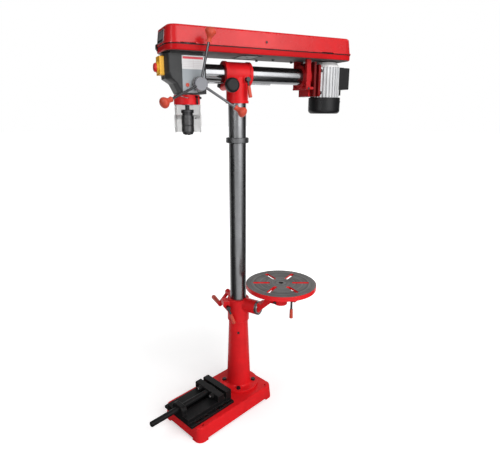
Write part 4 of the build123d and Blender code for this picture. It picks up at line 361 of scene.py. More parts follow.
def bare_metal(name, colour, roughness, stretch, depth=0.00006, edge=0.25, dull=0.12):
    """Machined metal with marks drawn out along one way."""
    finish = Finish(name, Metallic=1.0)
    wires = finish.wires
    marks = finish.use(TOOL_MARKS, Vector=finish.spot, Stretch=stretch)
    edges = finish.edges(0.0008)
    body = wires.toned(marks["Tone"], colour, 0.84, 1.08)
    finish.feed("Base Color", wires.partly(edges["Edge"], edge, body, shade(colour, 1.5)))
    finish.roughen(marks["Tone"], roughness + dull, roughness)
    finish.bump(marks["Height"], 0.3, depth, edges["Normal"])
    return finish.material


def moulding(name, colour, roughness, grain=900.0, depth=0.00012, edge=0.08, gloss=0.3):
    """Moulded plastic with a fine grain."""
    finish = Finish(name, IOR=PLASTIC_IOR, Specular_IOR_Level=gloss)
    wires = finish.wires
    film, edges = finish.film(grain, 0.15), finish.edges(0.001)
    body = wires.toned(film["Tone"], colour, 0.86, 1.1)
    light = tuple(min(1.0, part + 0.25) for part in colour) + (1.0,)
    finish.feed("Base Color", wires.partly(edges["Edge"], edge, body, light))
    finish.roughen(film["Tone"], roughness + 0.08, roughness - 0.03)
    finish.bump(film["Height"], 0.4, depth, edges["Normal"])
    return finish.material


red_sheet = enamel("red_sheet_enamel", shade(RED, 0.84), roughness=0.23, peel=420.0, casting=0.12,
                   depth=0.0002, gloss=0.26)
red_cast = enamel("red_cast_enamel", RED, roughness=0.36, peel=600.0, casting=0.75, depth=0.0006, gloss=0.14)
# The motor plate's red, at 0.28 of the red, is painted shade under the belt housing.
motor_plate_painted_shade = enamel("motor_plate_painted_shade_enamel", shade(RED, 0.28), roughness=0.42, peel=600.0, casting=0.6,
                   depth=0.0005, gloss=0.14)
charcoal = enamel("charcoal_enamel", (0.036, 0.037, 0.038), roughness=0.45, peel=900.0, casting=0.8,
                  depth=0.0005, gloss=0.2, edge=0.06)
black_cast = enamel("black_cast_enamel", (0.007, 0.007, 0.0075), roughness=0.45, peel=800.0, casting=0.9,
                    depth=0.0007, gloss=0.14)
# The bell above MOTOR_BELL_Z is painted nearly white as a painted highlight.
motor_silver_and_painted_highlight = enamel("motor_silver_paint_and_painted_highlight", (0.68, 0.69, 0.70), roughness=0.38, peel=900.0, casting=0.5,
                      gloss=0.4, edge=0.2, painted_highlight_above=MOTOR_BELL_Z)
hub_grey = enamel("hub_grey_paint", (0.225, 0.23, 0.25), roughness=0.42, peel=900.0, casting=0.3,
                  depth=0.0003, edge=0.3)
ground_steel = bare_metal("ground_steel", STEEL, roughness=0.24, stretch=ROUND_Z)
ram_steel = bare_metal("ram_steel", shade(STEEL, 1.16), roughness=0.15, stretch=ROUND_RAM, depth=0.00002,
                       dull=0.06)
ring_steel = bare_metal("ring_steel", shade(STEEL, 0.7), roughness=0.36, stretch=ROUND_Z)
bright_steel = bare_metal("bright_steel", (0.34, 0.34, 0.345), roughness=0.22, stretch=ROUND_RAM)
spoke_steel = bare_metal("spoke_steel", (0.155, 0.158, 0.166), roughness=0.22, stretch=ROUND_RAM)
dark_steel = bare_metal("blackened_steel", (0.045, 0.045, 0.047), roughness=0.36,
                        stretch=(300.0, 300.0, 1500.0), edge=0.5)
satin_aluminium = bare_metal("satin_aluminium", (0.42, 0.425, 0.44), roughness=0.42,
                             stretch=(700.0, 700.0, 700.0))
black_plastic = moulding("black_moulding", (0.008, 0.0082, 0.009), roughness=0.42, gloss=0.2, edge=0.04)
red_plastic = moulding("orange_red_moulding", (0.58, 0.066, 0.034), roughness=0.38)
yellow_plastic = moulding("yellow_moulding", (0.86, 0.44, 0.02), roughness=0.4)
green_plastic = moulding("green_moulding", (0.02, 0.3, 0.07), roughness=0.35)
stop_plastic = moulding("stop_red_moulding", (0.6, 0.02, 0.02), roughness=0.35)
belt_rubber = moulding("belt_rubber", (0.018, 0.018, 0.019), roughness=0.75, grain=1400.0, depth=0.0002)


def make_clear_guard():
    """The guard's clear plastic, a little milky and scuffed."""
    finish = Finish("clear_guard", IOR=GUARD_IOR, Transmission_Weight=0.75, Specular_IOR_Level=0.3)
    film = finish.film(500.0, 0.05)
    clear = finish.wires.mix(film["Tone"], (0.74, 0.74, 0.735, 1.0), (0.82, 0.82, 0.815, 1.0))
    finish.feed("Base Color", clear)
    finish.roughen(film["Tone"], 0.42, 0.3)
    finish.bump(film["Height"], 0.15, 0.0001)
    return finish.material


def two_part(name, mask_of, bare_of, metallic, colour=RED, gloss=0.18):
    """Red paint, with bare metal where the mask says that it was machined or left unpainted."""
    finish = Finish(name, IOR=PAINT_IOR, Specular_IOR_Level=gloss)
    wires = finish.wires
    film, edges = finish.film(600.0, 0.6), finish.edges(0.001)
    mask = mask_of(finish)
    bare, height, rough = bare_of(finish, film)
    red = wires.toned(film["Tone"], colour, 0.88, 1.06)
    finish.feed("Base Color", wires.mix(mask, red, bare))
    finish.feed("Metallic", wires.math("MULTIPLY", mask, metallic))
    finish.feed("Roughness", wires.mix_value(mask, 0.3, rough))
    finish.bump(wires.mix_value(mask, film["Height"], height), 0.3, 0.0004, edges["Normal"])
    return finish.material


def make_table_iron():
    """The table: turned iron on its top and in its bore, red elsewhere."""
    axis = moved(TABLE, x=TABLE_REACH)

    def machined(finish):
        wires = finish.wires
        reach = finish.use(TURNED_RINGS, Vector=finish.local(axis))["Radius"]
        face = wires.math("GREATER_THAN", wires.parts(finish.spot)["Z"], (TABLE_TOP - FACE_DEPTH) * MM)
        return wires.math("MAXIMUM", face, wires.math("LESS_THAN", reach, TABLE_BORE * MM))

    def turned(finish, film):
        wires = finish.wires
        fine, bands, wide = (finish.use(TURNED_RINGS, Vector=finish.local(axis), Pitch=pitch)["Height"]
                             for pitch in (1500.0, 260.0, 95.0))
        cut = wires.span(wires.math("ADD", fine, bands), 0.75, 1.25, 0.0, 1.0)
        tone = wires.mix(cut, (0.05, 0.046, 0.045, 1.0), (0.17, 0.158, 0.155, 1.0))
        stain = wires.span(film["Tone"], 0.0, 0.5, 0.35, 0.0)
        tone = wires.mix(stain, tone, (0.055, 0.05, 0.048, 1.0))
        worn = wires.span(wide, 0.5, 0.62, 0.0, 0.55, True)
        tone = wires.mix(worn, tone, (0.2, 0.19, 0.187, 1.0))
        deep = wires.span(wide, 0.46, 0.36, 0.0, 0.6, True)
        tone = wires.mix(deep, tone, (0.04, 0.037, 0.036, 1.0))
        return tone, fine, wires.span(film["Tone"], 0.0, 1.0, 0.5, 0.36)

    return two_part("table_iron_and_red", machined, turned, 0.85)


def make_tray_with_painted_shade():
    """The tray: galvanised sheet with its spangle underneath, red on its sides, darkened as painted shade
    under the lid.
    """
    def underside(finish):
        height = finish.wires.parts(finish.spot)["Z"]
        return finish.wires.math("LESS_THAN", height, (COVER_BOTTOM + FACE_DEPTH) * MM)

    def zinc(finish, film):
        wires = finish.wires
        spangle = wires.add("ShaderNodeTexVoronoi", {"Vector": finish.spot, "Scale": 90.0}).outputs["Color"]
        level = wires.add("ShaderNodeRGBToBW", {0: spangle}).outputs[0]
        tone = wires.mix(level, (0.1, 0.09, 0.089, 1.0), (0.142, 0.128, 0.127, 1.0))
        return tone, film["Height"], wires.span(level, 0.0, 1.0, 0.58, 0.72)

    # The sides' red at 0.74 of the red is painted shade under the lid's lip.
    return two_part("tray_painted_shade_red_and_zinc", underside, zinc, 0.5, shade(RED, 0.74), 0.05)


def make_mount_painted_shade():
    """The mount's red, darkened all over as painted shade under the belt housing, and darker still as painted
    shade on the plate that faces the motor.
    """
    finish = Finish("mount_painted_shade_enamel", IOR=PAINT_IOR, Specular_IOR_Level=0.14)
    wires = finish.wires
    film, edges = finish.film(600.0, 0.75), finish.edges(0.0012)
    along = wires.parts(finish.local(HEAD))["Y"]
    painted_shade_rear = wires.span(along, (MOUNT_PLATE_Y - 2) * MM, (MOUNT_PLATE_Y + 2) * MM, 0.0, 1.0, True)
    # Both reds are painted shade: the front at about 0.6 of the red, the plate behind at about 0.2.
    light = wires.toned(film["Tone"], RED, 0.54, 0.64)
    dark = wires.toned(film["Tone"], RED, 0.16, 0.22)
    finish.feed("Base Color", wires.mix(painted_shade_rear, light, dark))
    finish.roughen(film["Tone"], 0.46, 0.36)
    finish.bump(film["Height"], 0.35, 0.0006, edges["Normal"])
    return finish.material


def make_ribbed_sleeve():
    """The chuck's blackened sleeve with its fine upright ribs, which are painted lighter as a painted
    highlight.
    """
    finish = Finish("ribbed_sleeve", Metallic=1.0)
    wires = finish.wires
    local = finish.local(SPINDLE)
    ribs = finish.use(TICK_MARKS, Vector=local, Count=36.0, Width=0.26)["Short"]
    marks = finish.use(TOOL_MARKS, Vector=local, Stretch=(300.0, 300.0, 1500.0))
    edges = finish.edges(0.0008)
    # The ribs' lighter grey is a painted highlight; their relief comes from the bump below.
    body = wires.mix(ribs, (0.022, 0.022, 0.023, 1.0), (0.105, 0.105, 0.107, 1.0))
    finish.feed("Base Color", wires.partly(edges["Edge"], 0.5, body, grey(0.1)))
    finish.roughen(marks["Tone"], 0.46, 0.34)
    height = wires.math("ADD", ribs, wires.math("MULTIPLY", marks["Height"], 0.2))
    finish.bump(height, 0.5, 0.0006, edges["Normal"])
    return finish.material


def make_plate_print():
    """The side plate: a white field with a plain red strip and ruled lines, and satin grey below."""
    finish = Finish("side_plate_print", IOR=PAINT_IOR, Specular_IOR_Level=0.25)
    wires = finish.wires
    spot = wires.parts(finish.local(HEAD))
    film, edges = finish.film(900.0, 0.05), finish.edges(0.0005)

    def between(axis, low, high):
        above = wires.math("GREATER_THAN", spot[axis], low * MM)
        return wires.math("MULTIPLY", above, wires.math("LESS_THAN", spot[axis], high * MM))

    strip = wires.math("MULTIPLY", between("Z", *STRIP_Z), between("Y", *STRIP_Y))
    row = wires.math("FRACT", wires.math("DIVIDE", spot["Z"], RULE_PITCH * MM))
    rule = wires.math("MULTIPLY", wires.math("LESS_THAN", row, RULE_SHARE), between("Z", *RULES_Z))
    rule = wires.math("MULTIPLY", rule, between("Y", *RULES_Y))
    post = wires.math("MULTIPLY", between("Y", *POST_Y), between("Z", *RULES_Z))
    satin = wires.mix(film["Tone"], (0.29, 0.315, 0.335, 1.0), (0.34, 0.365, 0.385, 1.0))
    white = wires.mix(film["Tone"], (0.66, 0.645, 0.65, 1.0), (0.74, 0.725, 0.73, 1.0))
    tone = wires.mix(between("Z", *FIELD_Z), satin, white)
    tone = wires.partly(wires.math("MAXIMUM", rule, post), 0.55, tone, (0.42, 0.33, 0.34, 1.0))
    tone = wires.mix(strip, tone, (0.62, 0.05, 0.07, 1.0))
    finish.feed("Base Color", wires.partly(edges["Edge"], 0.5, tone, (0.75, 0.76, 0.77, 1.0)))
    finish.roughen(film["Tone"], 0.42, 0.32)
    finish.bump(film["Height"], 0.15, 0.0001, edges["Normal"])
    return finish.material


def make_scale(name, place, count, colour, ink, inner, outer):
    """A turned ring with an engraved scale on its rim, between an inner and an outer height."""
    finish = Finish(name, Metallic=0.9)
    wires = finish.wires
    local = finish.local(place)
    ticks = finish.use(TICK_MARKS, Vector=local, Count=count, Width=0.12)
    marks = finish.use(TOOL_MARKS, Vector=local, Stretch=(60.0, 60.0, 2200.0))
    edges = finish.edges(0.0007)
    near = wires.span(wires.parts(local)["Z"], inner * MM, outer * MM, 0.0, 1.0)
    short, long = (wires.math("MULTIPLY", ticks[label], wires.math("GREATER_THAN", near, start))
                   for label, start in (("Short", 0.55), ("Long", 0.25)))
    lines = wires.math("MAXIMUM", short, long)
    body = wires.toned(marks["Tone"], colour, 0.85, 1.08)
    finish.feed("Base Color", wires.mix(lines, body, ink))
    finish.roughen(lines, 0.3, 0.6)
    height = wires.math("SUBTRACT", marks["Height"], wires.math("MULTIPLY", lines, 2.0))
    finish.bump(height, 0.3, 0.0001, edges["Normal"])
    return finish.material


clear_guard = make_clear_guard()
table_iron = make_table_iron()
tray_paint_with_painted_shade = make_tray_with_painted_shade()
mount_painted_shade_red = make_mount_painted_shade()
ribbed_sleeve = make_ribbed_sleeve()
plate_print = make_plate_print()
tilt_scale = make_scale("tilt_scale", moved(TABLE, z=TILT_Z) @ ALONG_X, count=72, colour=(0.30, 0.30, 0.31),
                        ink=grey(0.03), inner=99.3, outer=113.3)
dial_scale = make_scale("dial_scale", moved(HEAD, y=FEED_Y, z=FEED_Z) @ ALONG_X, count=80,
                        colour=(0.035, 0.035, 0.037), ink=(0.75, 0.75, 0.74, 1.0), inner=62.5, outer=74.0)

# The finish that each CAD node shows.
NODE_FINISH = {
    red_sheet: ["belt_lid"],
    tray_paint_with_painted_shade: ["belt_tray"],
    red_cast: ["base_casting", "pedestal", "guard_collar", "table_bracket", "table_arm", "column_head",
               "table_crank"],
    mount_painted_shade_red: ["motor_mount"],
    motor_plate_painted_shade: ["motor_plate"],
    charcoal: ["head_casting", "spring_cap"],
    ground_steel: ["column_tube", "quill"],
    ram_steel: ["ram_tube", "ram_rack"],
    ring_steel: ["rack_ring"],
    hub_grey: ["feed_hub"],
    bright_steel: ["table_rack", "feed_shaft", "quill_bearings", "elevation_gear", "ram_pinion"],
    spoke_steel: ["feed_spokes"],
    ribbed_sleeve: ["chuck_sleeve"],
    dark_steel: ["spindle", "chuck_body", "chuck_jaw_1", "chuck_jaw_2", "chuck_jaw_3", "motor_rotor",
                 "pedestal_bolts", "table_clamp_lever", "table_lock_lever", "ram_lock_lever"],
    tilt_scale: ["tilt_scale_ring"],
    dial_scale: ["depth_dial"],
    table_iron: ["table"],
    black_cast: ["vise_body", "vise_jaw", "vise_screw"],
    motor_silver_and_painted_highlight: ["motor_body"],
    satin_aluminium: ["spindle_pulley", "motor_pulley"],
    black_plastic: ["ram_knob", "fan_cover", "terminal_box"],
    red_plastic: ["table_clamp_grip", "table_lock_grip", "ram_lock_grip", "crank_grip", "feed_knobs"],
    stop_plastic: ["estop_button"],
    yellow_plastic: ["switch_box", "switch_flap"],
    green_plastic: ["start_button"],
    clear_guard: ["guard_upper", "guard_lower"],
    belt_rubber: ["v_belt"],
}
for material, names in NODE_FINISH.items():
    for name in names:
        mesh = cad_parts[name].data
        mesh.materials.clear()
        mesh.materials.append(material)


# Small pieces. A shape is its points in millimetres and its faces; its Z points out of what it sits on.

BEVEL = 0.3
WASHER_HEIGHT = 1.6
RECESS_FLOOR = 0.4
SHARP_ANGLE = 32
# Half sections, from the foot up: shares of the radius, and of the height or, on a rivet, the radius.
PAN_PROFILE = ((1, 0), (0.98, 0.4), (0.86, 0.75), (0.66, 0.96))
RIVET_PROFILE = ((1, 0), (0.92, 0.3), (0.6, 0.55), (0.2, 0.64))


def hexagon(across):
    """The radius of a hexagon at each angle, from its width across flats."""
    return lambda turn: across / 2 / math.cos((turn + math.pi / 6) % (math.pi / 3) - math.pi / 6)


def cross_slot(length, width):
    """The radius of a cross recess at each angle, from half its length and half its width."""
    def radius(turn):
        across, along = max(abs(math.cos(turn)), 1e-6), max(abs(math.sin(turn)), 1e-6)
        return max(min(length / across, width / along), min(length / along, width / across))
    return radius


def skin(levels, steps, closed=False):
    """The faces between rings of points, and two end faces; a closed one joins its last ring to its first."""
    faces = []
    for level in range(levels if closed else levels - 1):
        low, high = level * steps, (level + 1) % levels * steps
        for step in range(steps):
            after = (step + 1) % steps
            faces.append((low + step, low + after, high + after, high + step))
    if not closed:
        faces.append(tuple(reversed(range(steps))))
        faces.append(tuple(range((levels - 1) * steps, levels * steps)))
    return faces


def stacked(rings, steps=48, closed=False):
    """Rings one above the other; a ring is a radius, or its radius at each angle, and a height."""
    points = []
    for radius, height in rings:
        for step in range(steps):
            turn = 2 * math.pi * step / steps
            reach = radius(turn) if callable(radius) else radius
            points.append(Vector((reach * math.cos(turn), reach * math.sin(turn), height)))
    return points, skin(len(rings), steps, closed)


def rod(stops, steps=20):
    """A round bar through its stops, each a point and the radius there."""
    points = []
    side = None
    for index, (spot, radius) in enumerate(stops):
        before, after = stops[max(index - 1, 0)][0], stops[min(index + 1, len(stops) - 1)][0]
        along = (Vector(after) - Vector(before)).normalized()
        side = (side - along * side.dot(along)).normalized() if side else along.orthogonal().normalized()
        across = along.cross(side)
        for step in range(steps):
            turn = 2 * math.pi * step / steps
            points.append(Vector(spot) + (side * math.cos(turn) + across * math.sin(turn)) * radius)
    return points, skin(len(stops), steps)


def cap_screw(radius, height, key):
    """A socket head with its hexagon recess."""
    return stacked([(radius - BEVEL, 0), (radius, BEVEL), (radius, height - 2 * BEVEL),
                    (radius - 2 * BEVEL, height), (hexagon(key), height),
                    (hexagon(key * 0.94), height * RECESS_FLOOR)])


def pan_screw(radius, height):
    """A rounded head with a cross recess."""
    return stacked([(radius * wide, height * high) for wide, high in PAN_PROFILE]
                   + [(cross_slot(radius * 0.5, radius * 0.15), height),
                      (cross_slot(radius * 0.4, radius * 0.1), height * RECESS_FLOOR)])


def hex_bolt(across, height, washer):
    """A hexagon head with a chamfered top, on a washer of the given radius."""
    foot, top = WASHER_HEIGHT, WASHER_HEIGHT + height
    return stacked([(washer - BEVEL, 0), (washer, BEVEL), (washer, foot - BEVEL), (washer - BEVEL, foot),
                    (hexagon(across), foot), (hexagon(across), foot + height * 0.78),
                    (across * 0.48, top), (across * 0.2, top)])


def rivet(radius):
    return stacked([(radius * wide, radius * high) for wide, high in RIVET_PROFILE], 24)


def plate(outline, low, high, holes=()):
    """A flat piece cut to an outline, with its holes."""
    mesh = bmesh.new()
    for loop in (outline, *holes):
        corners = [mesh.verts.new((x, y, low)) for x, y in loop]
        for index in range(len(corners)):
            mesh.edges.new((corners[index - 1], corners[index]))
    bmesh.ops.triangle_fill(mesh, use_beauty=True, edges=mesh.edges[:])
    grown = bmesh.ops.extrude_face_region(mesh, geom=mesh.faces[:])["geom"]
    raised = [item for item in grown if isinstance(item, bmesh.types.BMVert)]
    bmesh.ops.translate(mesh, verts=raised, vec=(0, 0, high - low))
    bmesh.ops.recalc_face_normals(mesh, faces=mesh.faces[:])
    mesh.verts.index_update()
    points = [vert.co.copy() for vert in mesh.verts]
    faces = [tuple(vert.index for vert in face.verts) for face in mesh.faces]
    mesh.free()
    return points, faces


def circle(x, y, radius, steps=40):
    turns = [2 * math.pi * step / steps for step in range(steps)]
    return [(x + radius * math.cos(turn), y + radius * math.sin(turn)) for turn in turns]


def rounded_box(x0, x1, y0, y1, radius, steps=6):
    """The outline of a rectangle with round corners."""
    outline = []
    for x, y, start in ((x1, y1, 0), (x0, y1, 90), (x0, y0, 180), (x1, y0, 270)):
        middle_x = x - math.copysign(radius, x - (x0 + x1) / 2)
        middle_y = y - math.copysign(radius, y - (y0 + y1) / 2)
        for step in range(steps + 1):
            turn = math.radians(start + 90 * step / steps)
            outline.append((middle_x + radius * math.cos(turn), middle_y + radius * math.sin(turn)))
    return outline


def facing(spot, normal, spin=0.0):
    """The place of a shape that sits at a point and looks along a normal."""
    turn = normal.to_track_quat("Z", "Y").to_matrix().to_4x4()
    return Matrix.Translation(spot) @ turn @ Matrix.Rotation(math.radians(spin), 4, "Z")


SURFACES = {}


def onto(node, place, start, direction, spin=0.0):
    """The place on a CAD node that a straight line meets, from a point of a group's own frame."""
    if node not in SURFACES:
        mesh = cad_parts[node].data
        points = [vert.co.copy() for vert in mesh.vertices]
        SURFACES[node] = BVHTree.FromPolygons(points, [tuple(face.vertices) for face in mesh.polygons])
    along = way(place, direction)
    spot, normal, _, _ = SURFACES[node].ray_cast(point(place, *start), along)
    if spot is None:
        raise ValueError(f"nothing of {node} lies that way")
    if normal.dot(along) > 0:
        normal.negate()
    return facing(spot, normal, spin)


def add_piece(name, body, finish, parts):
    """One piece made of shapes, each at its place; it moves with its body."""
    points, faces = [], []
    for (shape_points, shape_faces), place in parts:
        start = len(points)
        points += [place @ (spot * MM) for spot in shape_points]
        faces += [tuple(start + index for index in face) for face in shape_faces]
    mesh = bpy.data.meshes.new(name)
    mesh.from_pydata(points, [], faces)
    mesh.materials.append(finish)
    mesh.shade_smooth()
    mesh.set_sharp_from_angle(angle=math.radians(SHARP_ANGLE))
    piece = bpy.data.objects.new(name, mesh)
    bpy.context.scene.collection.objects.link(piece)
    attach(piece, body)
    return piece


def dress_head():
    """The head's side plate with its rivets, the oil plug, the stop button's collar and the screws."""
    side = moved(HEAD, x=HEAD_SIDE) @ ALONG_X
    thickness, hub_hole = 1.2, 21
    outline = [(-243, 1392), (-188, 1392), (-166, 1412), (-157, 1440), (-157, 1521), (-243, 1521)]
    add_piece("side_plate", "head", plate_print,
              [(plate(outline, 0, thickness, [circle(FEED_Y, FEED_Z, hub_hole)]), side)])
    rivets = [(-239.5, 1396), (-192, 1396), (-160.5, 1517.5), (-239.5, 1517.5), (-160.5, 1444)]
    add_piece("side_plate_rivets", "head", satin_aluminium,
              [(rivet(2.0), moved(side, y, z, thickness)) for y, z in rivets])
    add_piece("oil_plug", "head", red_plastic,
              [(cap_screw(radius=6.6, height=3.4, key=5.5), moved(side, -225, 1419, thickness))])
    add_piece("head_set_screws", "head", dark_steel,
              [(cap_screw(radius=4.2, height=2.4, key=4.0), onto("head_casting", HEAD, (-200, y, z), NEAR))
               for y, z in ((-222, 1500), (-178, 1500), (-222, 1400))])
    add_piece("switch_screws", "head", bright_steel,
              [(pan_screw(radius=2.4, height=1.4), onto("switch_box", HEAD, (x, -304, 1600), DOWN))
               for x in (-18, 18)])
    flap = onto("switch_flap", HEAD, (20, -400, 1480), BACK)
    flap.translation = HEAD @ Vector((0, *(HEAD.inverted() @ flap.to_translation()).yz))
    cone = stacked([(23, 0), (22.4, 1.2), (18.6, 6.4), (17.8, 7), (16.7, 7), (16.7, 0)], closed=True)
    add_piece("stop_button_collar", "switch_flap", yellow_plastic, [(cone, flap)])
    parts = []
    for turn in (30, 150, 270):
        y, z = on_circle(17, turn)
        parts.append((pan_screw(radius=2.8, height=1.6),
                      onto("spring_cap", HEAD, (-200, FEED_Y + y, FEED_Z + z), NEAR)))
    add_piece("spring_cap_screws", "head", dark_steel, parts)


def dress_belt_housing():
    """The lid's bare plate with its border, the catches, a black strip along the seam and a black rim round
    the tray's panel, both painted shadow, the tray's panel and the screws.
    """
    low, high = (onto("belt_lid", HEAD, (-6, -400, z), BACK) for z in (1572, 1605))
    lean = (high.to_translation() - low.to_translation()).normalized()
    across = way(HEAD, NEAR)
    face = Matrix((across, lean, across.cross(lean))).transposed().to_4x4()
    face.translation = low.to_translation()
    badge = rounded_box(-42, 45, -8, 36, 3)
    badge_back, badge_front, border_front = -0.3, 0.9, 1.2
    add_piece("lid_plate", "belt_lid", satin_aluminium,
              [(plate(badge, badge_back, badge_front), face)])
    outer, inner = rounded_box(-35, 39, -4, 32, 2), rounded_box(-33, 37, 3, 30, 1.5)
    add_piece("lid_plate_border", "belt_lid", black_plastic,
              [(plate(outer, badge_front, border_front, [inner]), face)])
    add_piece("lid_plate_rivets", "belt_lid", bright_steel,
              [(rivet(1.8), moved(face, x, 15.5, badge_front)) for x in (-38.5, 42)])
    add_piece("lid_screw", "belt_lid", dark_steel,
              [(cap_screw(radius=4.4, height=2.6, key=4.2), onto("belt_lid", HEAD, (150, 84, 1580), FAR))])

    catch_side = [(0, 0), (2.2, 0), (2.2, 5), (5.5, 8), (5.5, 20), (3.6, 23.5), (1.0, 23.5), (1.0, 13),
                  (0, 12)]
    catch_width, catch_gap, catch_z = 16, 0.25, COVER_BOTTOM + 9
    pin_radius, pin_past = 1.6, 1.2
    parts = []
    for x, y, out in ((-58, COVER_FRONT, -1), (42, COVER_BACK, 1)):
        upright = Matrix(((0, 0, 1), (out, 0, 0), (0, 1, 0))).to_4x4()
        turn = moved(HEAD, x, y + catch_gap * out, catch_z) @ upright
        pin = [((3.6, 6.6, end), pin_radius) for end in (-pin_past, catch_width + pin_past)]
        parts += [(plate(catch_side, 0, catch_width), turn), (rod(pin), turn)]
    add_piece("lid_catches", "head", black_plastic, parts)

    add_piece("tray_bolts", "head", dark_steel,
              [(hex_bolt(across=10, height=5.5, washer=8.5), onto("belt_tray", HEAD, (x, y, 1480), UP, spin))
               for x, y, spin in ((-63, 116, 10), (-24, 174, 35), (-56, 280, 5))])
    # A black strip round the seam under the lid's lip: a painted shadow.
    seam_shadow = [rounded_box(-COVER_HALF - out, COVER_HALF + out, COVER_FRONT - out, COVER_BACK + out,
                        COVER_CORNER + out, 12) for out in (1.3, 0.02)]
    add_piece("lid_seam_painted_shadow", "head", black_plastic,
              [(plate(seam_shadow[0], COVER_SPLIT - 3.2, COVER_SPLIT - 0.4, seam_shadow[1:]), HEAD)])

    under = moved(HEAD, z=COVER_BOTTOM) @ Matrix.Rotation(math.pi, 4, "X")
    rim, panel = ([(x, -y) for x, y in loop]
                  for loop in (rounded_box(-62, 60, 2, 84, 4), rounded_box(-57, 55, 7, 79, 3)))
    rim_depth, panel_depth = 2.2, 1.0
    # The rim's black is a painted shadow round the panel's border.
    add_piece("tray_panel_shadow_rim", "head", black_plastic,
              [(plate(rim, 0, rim_depth, [panel]), under)])
    add_piece("tray_panel", "head", black_plastic, [(plate(panel, 0, panel_depth), under)])
    add_piece("tray_panel_screws", "head", dark_steel,
              [(pan_screw(radius=3.2, height=2.0), moved(under, x, -y, panel_depth))
               for x, y in ((-51, 13), (49, 13), (-51, 73), (49, 73), (-4, 45))])
    add_piece("hinge_screws", "head", bright_steel,
              [(pan_screw(radius=2.2, height=1.2),
                onto("belt_tray", HEAD, (-200, y + step, COVER_SPLIT - 5), NEAR))
               for y in (-170, 330) for step in (-16, 16)])


def dress_motor():
    """Bolts and screws of the motor, its mount and its terminal box, and the skirt round that box."""
    add_piece("motor_plate_bolts", "motor", dark_steel,
              [(cap_screw(radius=6.4, height=9, key=6), onto("motor_plate", HEAD, (x, 420, z), FRONT))
               for x in (-61, 61) for z in (1491, 1403)])
    sleeve = HEAD @ Matrix(((1, 0, 0), (0, 0, -1), (0, 1, 0))).to_4x4()
    skirt_depth = 21
    skirt = [rounded_box(-BOX_HALF - out, BOX_HALF + out, BOX_BOTTOM - out, BOX_TOP - 1 + out, 0.4)
             for out in (1.4, 0.05)]
    add_piece("terminal_box_skirt", "motor", black_plastic,
              [(plate(skirt[0], -BOX_FRONT, skirt_depth - BOX_FRONT, skirt[1:]), sleeve)])
    parts = []
    for turn in (-45, 45, 135, 225):
        x, y = on_circle(150, turn)
        parts.append((pan_screw(radius=3.0, height=1.8),
                      onto("fan_cover", HEAD, (x, MOTOR_Y + y, 1368), (*on_circle(-1, turn), 0))))
    add_piece("fan_cover_screws", "motor", dark_steel, parts)
    add_piece("terminal_box_screws", "motor", bright_steel,
              [(pan_screw(radius=2.8, height=1.6), onto("terminal_box", HEAD, (x, 600, z), FRONT))
               for x in (-27, 27) for z in (1428, 1502)])
    add_piece("mount_screw", "head", dark_steel,
              [(cap_screw(radius=4.4, height=3, key=4), onto("motor_mount", HEAD, (x, 299, 1420), along))
               for x, along in ((150, FAR), (-150, NEAR))])


def dress_guard():
    """The guard's clamp lever, its stop screw, its rod and the screws that hold the clear part."""
    edge = onto("guard_collar", GUARD, (90, 100, 1378), (-0.67, -0.74, 0))
    out = (edge.to_3x3() @ Vector((0, 0, 1))).normalized()
    root = Matrix.Translation(edge.to_translation())

    def spot(reach, drop=0.0):
        """A point this far out of the collar and this far down."""
        return tuple(out * reach - Vector((0, 0, drop)))

    hub = [(spot(-1.0), 4.2), (spot(3.0), 4.2), (spot(8.5), 3.8), (spot(9.5), 2.5)]
    handle = [(spot(6.0), 2.4), (spot(6.5, 5), 2.6), (spot(7.5, 20), 3.4), (spot(7.6, 26), 3.2),
              (spot(7.6, 27.5), 2.0)]
    add_piece("guard_clamp_lever", "guard", black_plastic,
              [(rod(hub), root), (rod(handle), root)])
    add_piece("guard_stop_screw", "guard", dark_steel,
              [(cap_screw(radius=4.2, height=6.5, key=4.2),
                onto("guard_collar", GUARD, (20, 120, 1375), (-0.16, -0.98, 0)))])
    add_piece("guard_spring_rod", "guard", bright_steel,
              [(rod([((49.5, -16, 1379), 1.2), ((51.6, -13, 1379), 1.3), ((52.0, 2, 1375), 1.3),
                     ((51.2, 10, 1373.4), 1.3), ((48.5, 12.5, 1373), 1.2)]), GUARD)])
    add_piece("guard_screws", "guard", bright_steel,
              [(pan_screw(radius=2.6, height=1.6), onto("guard_upper", GUARD, (0, y, 1299), FAR))
               for y in (-27, 27)])


def dress_column():
    """Set screws and bolts of the pedestal, the rack ring, the column head and the table's arm."""
    turn = -44
    x, y = on_circle(180, turn)
    for name, body, screw, node, place, start, along in (
            ("pedestal_set_screw", "base", cap_screw(radius=5.6, height=2.6, key=5),
             "pedestal", BASE, (x, COLUMN_Y + y, 352), (*on_circle(-1, turn), 0)),
            ("rack_ring_set_screw", "base", cap_screw(radius=3.4, height=1.8, key=3),
             "rack_ring", BASE, (-20, -60, 1208), BACK),
            ("column_head_bolt", "column_head", hex_bolt(across=13, height=7, washer=9),
             "column_head", HEAD, (-20, -160, 1424), BACK),
            ("column_head_set_screw", "column_head", cap_screw(radius=4.6, height=2.6, key=4.4),
             "column_head", HEAD, (0, 160, 1380), FRONT),
            ("arm_set_screw", "table_bracket", cap_screw(radius=4.0, height=2.2, key=4),
             "table_bracket", TABLE, (80, 0, TILT_Z - 90), UP),
            ("table_hub_bolt", "table_arm", hex_bolt(across=10, height=6, washer=8),
             "table_arm", TABLE, (TABLE_REACH - 60, -110, 542), (0.48, 0.88, 0))):
        add_piece(name, body, dark_steel, [(screw, onto(node, place, start, along))])


